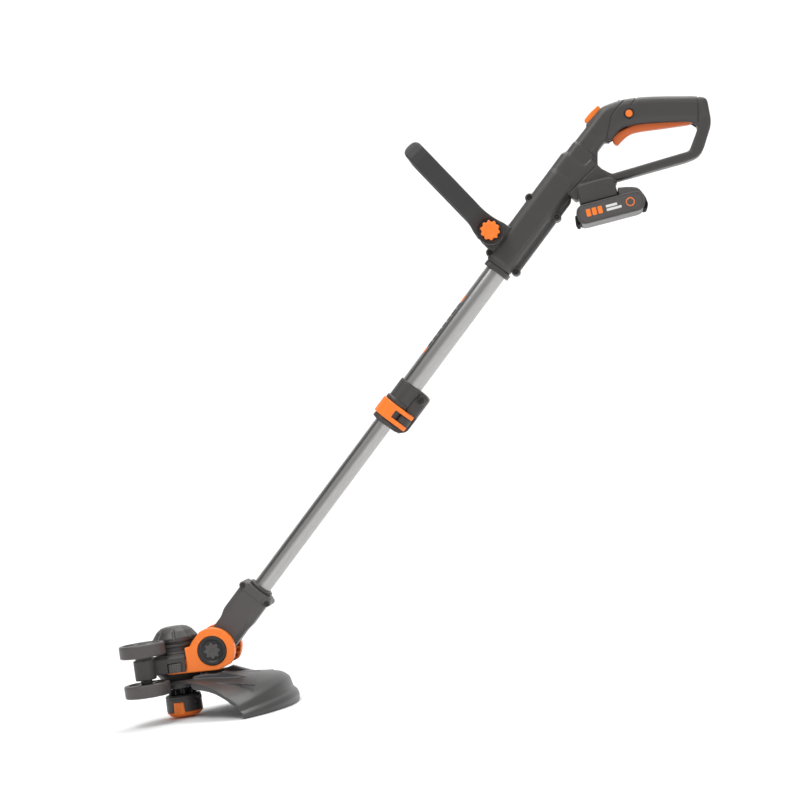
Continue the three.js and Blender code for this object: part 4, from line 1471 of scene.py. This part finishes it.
# ---------------------------------------------------------------- neck and yoke
class Neck(Assembly):
    """The two halves between the lower tube and the tilting yoke."""

    section = [
        (-17.4, -22, 1), (12.4, -22, 1), (22.0, -13.0, 2), (22.0, 13.0, 2), (12.4, 22, 1), (-17.4, 22, 1),
        (-24.4, 14.5, 2), (-24.4, -14.5, 2),
    ]
    side = [
        (-20.2, -2), (-20.2, 43, 4), (-24.4, 54, 4), (-24.4, 105), (22.0, 105), (22.0, 59, 4), (20.0, 49, 4),
        (20.2, -2),
    ]
    bosses = [(-21.6, 96.8), (20.6, 96.8)]

    def half(self, sign: float) -> Sculpt:
        """One half: sign -1 is the near one."""
        made = Sculpt((-29, min(sign, 0) * 23.0, -23), (29, max(sign, 0) * 23.0, 105), 0.45)
        made.add(Slab(self.section, 0, 104, 1.6, Side.XY))
        made.keep(Slab(self.side, -40, 40, 0.4), 0.5)
        made.add(Rod(22.4, -21.8, 21.8, 2.5, Side.XZ), 1.0)
        band = oblong(-20.6, -20.4, 19.4, 20.4, 8)
        made.add(Slab(band, 90, 104, 1.5, Side.XY), 1.0)
        for x, s in self.bosses:
            made.add(Rod(5.2, -21.6, 21.6, 1.6, Side.XZ, (x, s)), 2.5)
        made.engrave(Slab(ribbon([(-40, 91.2), (40, 91.2)], 0.9), -40, 40, 0.1), 0.6)
        made.cut(Rod(13.0, 33.7, 130, 0.2))
        made.cut(Rod(6, 14, 40, 0.2))
        made.cut(Rod(5.4, -40, 40, 0.2, Side.XZ))
        for x, s in ((-21, 96.5), (20.5, 96.5)):
            ends = sorted((19.4 * sign, 60 * sign))
            made.cut(Rod(3.7, ends[0], ends[1], 0.3, Side.XZ, (x, s)))
            made.cut(Rod(1.8, -40, 40, 0.1, Side.XZ, (x, s)))
        across = sorted((0.15 * sign, -60 * sign))
        made.cut(Brick((-90, across[0], -90), (90, across[1], 200), 0.0))
        return made

    def build(self) -> None:
        """Both halves, the ring and the screw heads."""
        self.put("neck_near", self.half(-1), Look.PANEL, "lower_shaft", ["neck_half_near"])
        self.put("neck_far", self.half(1), Look.PANEL, "lower_shaft", ["neck_half_far"])
        collar = Sculpt((-19, -19, 104), (19, 19, 109.5), 0.35)
        collar.add(Rod(17.6, 104.3, 109, 1.5))
        collar.cut(Rod(13.0, 90, 130, 0.1))
        self.put("neck_collar", collar, Look.CHARCOAL, "lower_shaft", ["neck_ring"])
        head = screw(3.4, 2.2).surface()
        for index, (x, s) in enumerate(((-21, 96.5), (20.5, 96.5))):
            spot = facing(self.place, x, -21.9, s, -1)
            self.put(f"neck_screw_head_{index + 1}", head, Look.BLACK, "lower_shaft", place=spot)


class Yoke(Assembly):
    """The orange tilting yoke and its release button."""

    radius = 31.6
    foot = [
        (-27, 16, 8), (-31.5, 9, 3), (-38.4, 9, 1.5), (-38.4, -19, 2), (-50, -21.6, 2), (-66, -23.2, 1),
        (-66, -25.4, 1), (6, -27.6, 5),
    ]

    def plate(self) -> Array:
        """The side view of one plate: most of a disc, and a foot along the motor's collar."""
        rim = [
            (
                self.radius * math.cos(a), self.radius * math.sin(a)
            ) for a in np.radians(np.linspace(-42, 118, 33))
        ]
        return rounded(rim + self.foot)

    def arms(self) -> Sculpt:
        """Both plates and the collar round the motor."""
        made = Sculpt((-96, -38.5, -29), (33, 38.5, 33), 0.5)
        for side in (-1, 1):
            ends = sorted((24 * side, 37 * side))
            made.add(Slab(self.plate(), ends[0], ends[1], 1.6))
        collar = made.blank()
        collar.add(Rod(37.5, -23.5, -8, 0.8, centre=(-57, 0)))
        collar.keep(Brick((-100, -40, -30), (-37, 40, 0), 0.1))
        made.join(collar)
        made.cut(Rod(33.0, -40, 50, 0.2, centre=(-57, 0)))
        made.cut(Rod(20.7, -60, -26, 1.0, Side.XZ))
        made.cut(Rod(22.0, 27.2, 60, 0.8, Side.XZ))
        made.cut(Rod(5.4, -60, 60, 0.1, Side.XZ))
        ribs = [math.radians(a) for a in range(-70, 100, 17)]
        for a in ribs:
            pocket = Slab(
                [(24.8, -2.6, 0.8), (29.0, -3.1, 0.8), (29.0, 3.1, 0.8), (24.8, 2.6, 0.8)], 22, 34, 0.3
            )
            made.cut(Posed(pocket, lean=math.degrees(a)))
        return made

    def button(self) -> Sculpt:
        """The dished release button."""
        made = Sculpt((-20.6, -39.5, -20.6), (20.6, -29, 20.6), 0.3)
        made.add(Rod(20.1, -38.6, -29.8, 1.2, Side.XZ))
        dish = Rod((18.0, 13.5), -40, -36.2, 1.4, Side.XZ)
        made.cut(dish, 1.2)
        made.cut(Rod(16.5, -35.0, -20, 0.3, Side.XZ))
        return made

    def star(self) -> Sculpt:
        """The lobed boss that stands in the button's dish."""
        made = Sculpt((-13, -39, -13), (13, -35, 13), 0.25)
        made.add(Slab(circle(10.4, 192, 8, 1.3, 2.0), -38.3, -36.0, 0.7))
        made.cut(Rod(3.4, -60, -37.6, 0.3, Side.XZ), 0.3)
        return made

    def build(self) -> None:
        """Yoke and button."""
        self.put("yoke_arms", self.arms(), Look.ORANGE, "head", ["yoke"])
        self.put("tilt_disc", self.button(), Look.BLACK, "pivot_button", ["tilt_button"])
        self.put("tilt_star", self.star(), Look.PANEL, "pivot_button")


# ---------------------------------------------------------------- motor, spool and guard
class Motor(Assembly):
    """The motor's housing and its domed cover."""

    dome = [
        (0, 36.0), (15, 36.0), (28.5, 23.5), (29.5, 18.3), (31.4, 18.3, 0.4), (32.0, 23.2, 0.8),
        (25.0, 32.6, 0.8), (18.4, 37.2, 0.8), (13.0, 38.6, 1.5), (0, 38.8),
    ]
    housing = [
        (12, -46.7, 0.3), (26.4, -46.7, 0.6), (26.4, -36.6, 0.8), (32.5, -25.6, 1.5), (32.5, -2.6, 1),
        (30.4, -1.0, 0.8), (30.4, 2.6, 0.8), (28.6, 4.0, 0.6), (28.6, 10.5, 0.4), (30.2, 11.4, 0.5),
        (30.2, 14.6, 0.5), (28.6, 15.4, 0.4), (28.6, 18.0, 0.3), (26.2, 18.0), (26.2, -24), (20, -31),
        (20, -41), (12, -44),
    ]

    def cover(self) -> Sculpt:
        """The dome with its flutes and vents."""
        made = Sculpt((-33, -33, 18), (33, 33, 41), 0.45)
        made.add(Turned(self.dome))
        for k in range(8):
            flute = Posed(
                Wire([(20.0, 0, 38.6), (28.6, 0, 29.0), (33.6, 0, 21.6)], [0.9, 2.2, 1.6]), swing=45.0 * k + 9
            )
            made.cut(flute, 1.2)
        return made

    def build(self) -> None:
        """Dome and housing, with ribs under the cone."""
        self.put("motor_cover", self.cover(), Look.CHARCOAL, "head", ["motor_dome"])
        shell = Sculpt((-33.5, -33.5, -48), (33.5, 33.5, 19), 0.55)
        shell.add(Turned(self.housing))
        for low in (-45.6, -42.6, -39.6):
            band = Rod(28, low, low + 1.4, 0.3)
            rim = shell.blank()
            rim.add(band)
            rim.cut(Rod(25.6, -60, 0, 0.1))
            shell.without(rim)
        self.put("motor_shell", shell, Look.CHARCOAL, "head", ["motor_housing"])


class Spool(Assembly):
    """The spool housing, fan ribs, eyelet and the orange cap."""

    tab_turn = -8.0

    def housing(self) -> Sculpt:
        """The cup over the line with its notch, slots and lug."""
        made = Sculpt((-30, -27, -82), (30, 27, -56), 0.4)
        made.add(Turned([
            (3, -57.0), (22.5, -57.0, 0.8), (25.2, -58.8, 1.5), (25.4, -80.4, 0.6), (22.9, -80.4, 0.3),
            (22.9, -60.4, 0.6), (7, -60.4), (7, -72.8), (3, -72.8),
        ]))
        made.add(Posed(Brick((24.0, -4.2, -64.8), (28.6, 4.2, -60.6), 0.9), swing=-22), 0.8)
        made.cut(Posed(Rod(2.7, 18, 40, 0.2, Side.YZ), (0, 0, -68.5), swing=-38))
        notch = [(-9.0, -90), (9.0, -90), (7.7, -66.3, 1.2), (-7.7, -66.3, 1.2)]
        made.cut(Posed(Slab(notch, -40, -18, 0.3), swing=self.tab_turn))
        made.engrave(Rod(60, -62.9, -62.0, 0.1), 0.5)
        return made

    def fan(self) -> Sculpt:
        """Radial ribs in the gap over the spool, on the turning side."""
        made = Sculpt((-22, -22, -57.2), (22, 22, -48), 0.4)
        made.add(Rod(9.5, -56.7, -48.6, 0.5))
        made.cut(Rod(3.0, -60, -40, 0.1))
        for k in range(10):
            made.add(Posed(Brick((7, -0.9, -56.7), (20.0, 0.9, -49.6), 0.4), swing=36.0 * k))
        return made

    def cap(self) -> Sculpt:
        """The orange cap with its snap tab."""
        made = Sculpt((-26, -27, -88), (26, 27, -65), 0.35)
        made.add(Turned([
            (0, -87.4), (19.6, -87.4, 0.8), (25.3, -82.4, 0.5), (25.3, -81.0, 0.3), (22.4, -81.0, 0.3),
            (20, -83.6), (0, -83.6),
        ]))
        tab = made.blank()
        tab.add(Rod(25.2, -84, -66.8, 0.5))
        tab.cut(Rod(23.2, -99, -50, 0.1))
        shape = [(-8.6, -84.6), (8.6, -84.6), (7.3, -66.8, 1.0), (-7.3, -66.8, 1.0)]
        tab.keep(Posed(Slab(shape, -40, -18, 0.3), swing=self.tab_turn))
        made.join(tab)
        made.add(Posed(Brick((-8.4, -24.8, -83.8), (8.4, -18.5, -81), 0.6), swing=self.tab_turn), 0.5)
        for k in range(36):
            tooth = Posed(Brick((24.0, -0.45, -85), (26, 0.45, -82.2), 0.2), swing=10.0 * k)
            made.cut(tooth, 0.3)
        for k in range(5):
            bar = Brick((-4.6, -26.5, -80.2 + 2.2 * k), (4.6, -25.0, -79.3 + 2.2 * k), 0.2)
            made.cut(Posed(bar, swing=self.tab_turn), 0.3)
        made.cut(Rod(12.5, -90, -86.6, 0.5), 0.6)
        return made

    def build(self) -> None:
        """Housing, ribs and cap."""
        self.put("spool_cup", self.housing(), Look.CHARCOAL, "rotor", ["spool_housing"])
        self.put("spool_fan", self.fan(), Look.BLACK, "rotor")
        self.put("cap_shell", self.cap(), Look.ORANGE, "cap", ["spool_cap"])


@dataclass
class GuardSheet(Shape):
    """The guard's sheet: a turned profile that sags towards its sides.

    Args:
        profile: closed corners of (radius, z, rounding).
        sag: drop for each square millimetre of y.
        start: x where the sag begins.
        over: length over which it grows.
        fold: the height below which the sag fades.
        rim: the height that stays level.
    """

    profile: Sequence[Corner]
    sag: float = 0.00150
    start: float = 20.0
    over: float = 60.0
    fold: float = -46.0
    rim: float = -89.2

    def bounds(self) -> Bounds:
        """Its lowest and highest corner."""
        points = rounded(self.profile, steps=4)
        reach = points[:, 0].max()
        return np.array(
            [-40.0, -reach, points[:, 1].min() - 20]
        ), np.array([reach, reach, points[:, 1].max()])

    def distance(self, x: Array, y: Array, z: Array) -> Array:
        """Signed distance at points, negative inside."""
        drop = self.sag * np.clip((x - self.start) / self.over, 0, 1) * y * y
        side = self.rim + (z - self.rim) / (1 - drop / (self.fold - self.rim))
        raised = np.where(z + drop >= self.fold, z + drop, np.where(z > self.rim, side, z)).astype(np.float32)
        return polygon_distance(rounded(self.profile, steps=4), np.hypot(x, y), raised)


class Guard(Assembly):
    """The grass guard: sheet, skirt, mount ridges and the valley under the neck."""

    profile = [
        (27.2, -46.6, 0.5), (27.2, -38.4, 1), (34, -34.6, 4), (60, -36.0), (118, -40.4, 12), (143, -45.4, 6),
        (153, -54, 4), (156, -69, 2), (160.8, -73.6, 2), (163, -80, 1.5), (161.8, -89.2, 1),
        (158.8, -89.2, 0.8), (157.6, -75, 3), (154, -70.5, 4), (150.0, -55.6, 7), (141, -48.2, 9),
        (117, -43.2, 12), (60, -38.8), (36, -37.2, 3), (29.6, -40.2), (29.6, -46.6, 0.3),
    ]
    fan = [
        (-14, 25.5, 3), (4, 43, 12), (30, 65, 22), (105.5, 124.4), (184.5, 186.5), (184.5, -186.5),
        (105.5, -124.4), (30, -65, 22), (4, -43, 12), (-14, -25.5, 3),
    ]

    fin = [(20, -46), (25, -31.5, 3), (68, -28.7, 3), (99, -41.5, 5), (108, -47)]
    wall_side = [
        (26, -30), (26, -47, 6), (58, -51.5, 14), (87, -67.5, 14), (108, -94), (190, -94), (190, -30)
    ]

    def sheet(self) -> Sculpt:
        """The whole guard."""
        made = Sculpt((-32, -128, -95), (165, 128, -26), 0.7)
        made.add(GuardSheet(self.profile))
        for side in (-1, 1):
            ends = sorted((24.6 * side, 39 * side))
            made.add(Slab(self.fin, ends[0], ends[1], 2.6), 2.0)
            rib = [(62, 60 * side, -42.4), (118, 84 * side, -50.0)]
            made.add(Wire(rib, [1.4, 1.2]), 3.0)
        made.cut(Rod(32.4, -60, 60, 0.2, Side.XZ, (57, 0)))
        made.add(Wire([(34, 0, -37.2), (112, 0, -41.2)], [1.8, 1.4]), 3.0)
        made.add(Brick((24, -33, -51), (61, 33, -39), 2.0), 1.5)
        wedge = made.blank()
        wedge.add(Slab(self.fan, -140, 0, 0.1, Side.XY))
        wall = made.blank().join(wedge).rind(2.8)
        wall.keep(Slab(self.wall_side, -140, 140, 0.1))
        wall.within(made.blank().add(GuardSheet(self.profile[2:15] + [(0, -130), (0, -34.8)])))
        wedge.add(Rod(29.6, -52, -30, 0.1))
        made.within(wedge).join(wall)
        made.cut(Rod(26.9, -60, -20, 0.1))
        return made

    def build(self) -> None:
        """The guard as one piece."""
        self.put("guard_shell", self.sheet(), Look.GUARD, "head", ["guard"])


class Wheels(Assembly):
    """The two guide wheels."""

    def wheel(self, low: float, side: float) -> Sculpt:
        """A wheel with an open, spoked face: side 1 opens upwards."""
        high = low + 18.0
        made = Sculpt((-33, -33, low), (33, 33, high), 0.45)
        made.add(Rod(32.0, low, high, 2.4))
        face = high if side > 0 else low
        deep = sorted((face + 3 * side, face - 1.3 * side))
        made.cut(Rod(27.2, deep[0], deep[1], 0.8), 0.6)
        back = sorted((face - 9.5 * side, face - 30 * side))
        made.cut(Rod(27.4, back[0], back[1], 0.8), 0.6)
        for k in range(5):
            void = [(11.6, -4.6, 2), (24.6, -10.6, 3), (26.4, 0, 6), (24.6, 10.6, 3), (11.6, 4.6, 2)]
            made.cut(Posed(Slab(void, low - 5, high + 5, 0.6, Side.XY), swing=72.0 * k + 20))
        hub = sorted((face - 0.5 * side, face - 12.0 * side))
        made.add(Rod(9.0, hub[0], hub[1], 1.0), 1.0)
        cup = sorted((face, face - 4.6 * side))
        made.cut(Rod(6.9, cup[0], cup[1], 0.4))
        made.cut(Rod(4.0, -80, 60, 0.1))
        return made

    def build(self) -> None:
        """Both wheels."""
        self.put("wheel_upper", self.wheel(6.2, 1), Look.WHEEL, "wheel_top", ["upper_wheel"])
        self.put("wheel_lower", self.wheel(-49.0, 1), Look.WHEEL, "wheel_bottom", ["lower_wheel"])
        cap = Sculpt((-6.5, -6.5, 16), (6.5, 6.5, 23), 0.3)
        cap.add(Rod(6.0, 20.2, 22.2, 0.8))
        cap.cut(Rod(3.7, 10, 20.4, 0.1))
        self.put("axle_cap", cap, Look.STEEL, "head")


class Bracket(Assembly):
    """The arm that carries the wheels, and its catch."""

    arm = [
        (-90.2, -47), (-81.2, -46.4, 2), (-62, -45, 3), (-39.2, -41.2, 3), (-39.2, -37.6), (-80, -22),
        (-90, -30), (-94.2, -39),
    ]

    def solid(self) -> Sculpt:
        """Hub, arm and the saddle round the yoke's collar."""
        made = Sculpt((-111, -68, -31.6), (-38, -2, 6.2), 0.45)
        made.add(Rod(14.8, -26.2, 1.8, 1.4, centre=(-94.2, -52)))
        made.add(Slab(self.arm, -23.2, -1.8, 1.6, Side.XY), 1.0)
        made.add(Rod(11.5, 0, 5.9, 0.8, centre=(-94.2, -52)))
        made.add(Rod(8.0, -31.0, -20, 0.8, centre=(-94.2, -52)))
        saddle = made.blank()
        saddle.add(Rod(41.6, -21.5, 1.6, 0.8, centre=(-57, 0)))
        saddle.add(Rod(42.6, -3.4, -0.6, 0.5, centre=(-57, 0)))
        saddle.keep(
            Slab([(-39.2, -60), (-39.2, -30), (-57, -18), (-100, -8), (-120, -60)], -40, 20, 0.5, Side.XY)
        )
        made.join(saddle)
        made.cut(Rod(37.9, -60, 40, 0.2, centre=(-57, 0)))
        made.cut(Rod(3.9, -60, 40, 0.1, centre=(-94.2, -52)))
        made.cut(Brick((-64, -60, -30), (-41, -41.9, -9.5), 1.2))
        made.cut(Brick((-43.7, -37.6, -40), (-20, 20, 40), 0.3))
        made.cut(Brick((-38.9, -80, -40), (-20, 20, 40), 0.3))
        made.cut(Brick((-50.3, -37.3, -26.7), (-36, -20, -7.7), 0.2))
        return made

    def clip(self) -> Sculpt:
        """The ribbed catch."""
        made = Sculpt((-64, -48, -24), (-42, -41, -9), 0.3)
        made.add(Slab(oblong(-62.5, -10.5, -44.5, -22.8, 3), -47.0, -42.2, 1.7))
        for k in range(4):
            made.cut(Posed(Rod(0.7, -40, 0, 0.1), (-58.4 + 3.4 * k, -47.2, 0)), 0.6)
        return made

    def build(self) -> None:
        """Bracket and catch."""
        self.put("wheel_arm", self.solid(), Look.CHARCOAL, "head", ["wheel_bracket"])
        self.put("arm_catch", self.clip(), Look.PANEL, "head", ["bracket_clip"])


# ---------------------------------------------------------------- inner parts
class InnerParts:
    """Finishes and eased edges for the CAD nodes that stay shown."""

    looks = {
        "trigger_pin": Look.STEEL, "trigger_switch": Look.BLACK, "control_board": Look.BOARD,
        "terminal_block": Look.BLACK, "motor_lead_coil": Look.BLACK, "motor_lead": Look.BLACK,
        "clamp_sleeve": Look.BLACK, "clamp_screw": Look.STEEL, "lever_pin": Look.STEEL,
        "aux_bolt": Look.STEEL, "battery_cells": Look.BOARD, "guide_bush": Look.BLACK,
        "neck_screw_1": Look.BLACK, "neck_screw_2": Look.BLACK, "pivot_bolt": Look.STEEL,
        "motor_can": Look.STEEL, "upper_bearing": Look.STEEL, "lower_bearing": Look.STEEL,
        "line_cutter": Look.STEEL, "wheel_axle": Look.STEEL, "button_spring": Look.STEEL,
        "motor_shaft": Look.STEEL, "armature": Look.COPPER, "line_eyelet": Look.STEEL, "spool": Look.BLACK,
        "wound_line": Look.LINE,
    }

    def __init__(self, palette: Palette) -> None:
        """Keeps the finishes."""
        self.palette = palette

    def build(self) -> None:
        """Dresses every node that is still shown."""
        for name, node in sorted(frame["nodes"].items()):
            if node.hide_render:
                continue
            look = self.looks.get(name, Look.CHARCOAL)
            node.data.materials.clear()
            node.data.materials.append(self.palette.material(look))
            ease = node.modifiers.new("ease", "BEVEL")
            ease.width, ease.segments, ease.limit_method = 0.15 * MM, 2, "ANGLE"
            ease.angle_limit = math.radians(40)
            LOG.info("%s keeps its CAD shape", name)


# ---------------------------------------------------------------- studio
class Studio:
    """The pale floor and backdrop, the soft lights and the camera."""

    eye = (-0.13714, -2.92786, -0.39977)
    right = (0.98555342, 0.09063258, -0.14307408)
    up = (0.144133, -0.00521441, 0.98954459)
    lens = 94.5

    def sweep(self) -> None:
        """A floor that curves up into a backdrop."""
        low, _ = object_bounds()
        floor = low.z - 0.0005
        bend = [(-9.0, 0.0), (2.2, 0.0)]
        bend += [
            (2.2 + 1.6 * math.sin(t), 1.6 - 1.6 * math.cos(t)) for t in np.linspace(0.08, math.pi / 2, 16)
        ]
        bend += [(3.8, 7.0)]
        points = [(x, y, floor + h) for y, h in bend for x in (-9.0, 9.0)]
        faces = [(i, i + 1, i + 3, i + 2) for i in range(0, len(points) - 2, 2)]
        mesh = bpy.data.meshes.new("sweep")
        mesh.from_pydata(points, [], faces)
        mesh.shade_smooth()
        mesh.materials.append(self.paper("paper", 0.93))
        made = bpy.data.objects.new("sweep", mesh)
        bpy.context.scene.collection.objects.link(made)
        made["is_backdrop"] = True

    def paper(self, name: str, shade: float) -> bpy.types.Material:
        """Matt paper of one shade."""
        material = bpy.data.materials.new(name)
        tree = Tree(material)
        shader = tree.node(
            "ShaderNodeBsdfPrincipled", {}, {"Base Color": (shade, shade, shade, 1), "Roughness": 0.9}
        )
        tree.node("ShaderNodeOutputMaterial", {}, {"Surface": Value(tree, shader.outputs[0])})
        return material

    def lamp(self, name: str, at: Point, aim: Point, size: tuple[float, float], power: float) -> None:
        """A soft rectangular light.

        Args:
            name: its name.
            at: where it hangs.
            aim: the point that it faces.
            size: width and height in metres.
            power: in watts.
        """
        data = bpy.data.lights.new(name, "AREA")
        data.shape, data.size, data.size_y, data.energy = "RECTANGLE", size[0], size[1], power
        made = bpy.data.objects.new(name, data)
        made.location = at
        made.rotation_mode = "QUATERNION"
        made.rotation_quaternion = (Vector(aim) - Vector(at)).to_track_quat("-Z", "Y")
        bpy.context.scene.collection.objects.link(made)
        made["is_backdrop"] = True

    def card(self, at: Point, size: tuple[float, float]) -> None:
        """A black card that shades one side of the tubes, facing the tool's middle."""
        wide, tall = size[0] / 2, size[1] / 2
        mesh = bpy.data.meshes.new("card")
        mesh.from_pydata(
            [(-wide, -tall, 0), (wide, -tall, 0), (wide, tall, 0), (-wide, tall, 0)], [], [(0, 1, 2, 3)]
        )
        mesh.materials.append(self.paper("card", 0.01))
        made = bpy.data.objects.new("card", mesh)
        made.location = at
        made.rotation_mode = "QUATERNION"
        made.rotation_quaternion = (-Vector(at)).to_track_quat("Z", "Y")
        bpy.context.scene.collection.objects.link(made)
        made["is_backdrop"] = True

    def world(self) -> None:
        """A plain white surround."""
        surround = bpy.data.worlds.new("surround")
        surround.use_nodes = True
        surround.node_tree.nodes["Background"].inputs["Color"].default_value = (1, 1, 1, 1)
        surround.node_tree.nodes["Background"].inputs["Strength"].default_value = 0.52
        bpy.context.scene.world = surround

    def camera(self) -> None:
        """The camera, level with the middle of the tool and turned a little on its axis."""
        data = bpy.data.cameras.new("camera")
        data.lens, data.sensor_width = self.lens, 36.0
        data.clip_start, data.clip_end = 0.1, 50.0
        made = bpy.data.objects.new("camera", data)
        right, up = Vector(self.right).normalized(), Vector(self.up)
        back = right.cross(up).normalized()
        up = back.cross(right)
        made.matrix_world = Matrix.Translation(self.eye) @ Matrix((right, up, back)).transposed().to_4x4()
        bpy.context.scene.collection.objects.link(made)
        bpy.context.scene.camera = made
        made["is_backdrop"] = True

    def build(self) -> None:
        """Everything round the object."""
        self.sweep()
        self.world()
        self.lamp("key", (-1.2, -1.5, 2.5), (-0.2, 0, -0.3), (1.6, 1.6), 62)
        self.lamp("fill", (1.9, -2.3, 0.5), (-0.2, 0, -0.3), (1.4, 2.2), 9)
        self.lamp("top", (0.3, 0.7, 2.3), (-0.2, 0, -0.3), (3.0, 1.2), 44)
        self.lamp("wall", (-0.2, 1.3, 2.6), (-0.2, 3.8, 0.2), (3.6, 1.0), 44)
        self.card((-1.9, -0.2, 0.9), (1.2, 1.6))
        self.camera()
        scene = bpy.context.scene
        scene.view_settings.view_transform = "Standard"


def main() -> None:
    """Builds the trimmer and the studio."""
    logging.basicConfig(level=logging.INFO, format="%(message)s")
    palette = Palette()
    places = Places()
    for assembly in (
        Housing(places.shaft, palette),
        Controls(places.shaft, palette),
        Battery(places.pack, palette),
        Tubes(places.shaft, palette),
        Clamp(places.shaft, palette),
        SecondHandle(places.loop, palette),
        Neck(places.shaft, palette),
        Yoke(places.head, palette),
        Motor(places.motor, palette),
        Guard(places.motor, palette),
        Spool(places.motor, palette),
        Wheels(places.wheels, palette),
        Bracket(places.head, palette),
    ):
        assembly.build()
    InnerParts(palette).build()
    Studio().build()


if __name__ == "__main__":
    main()
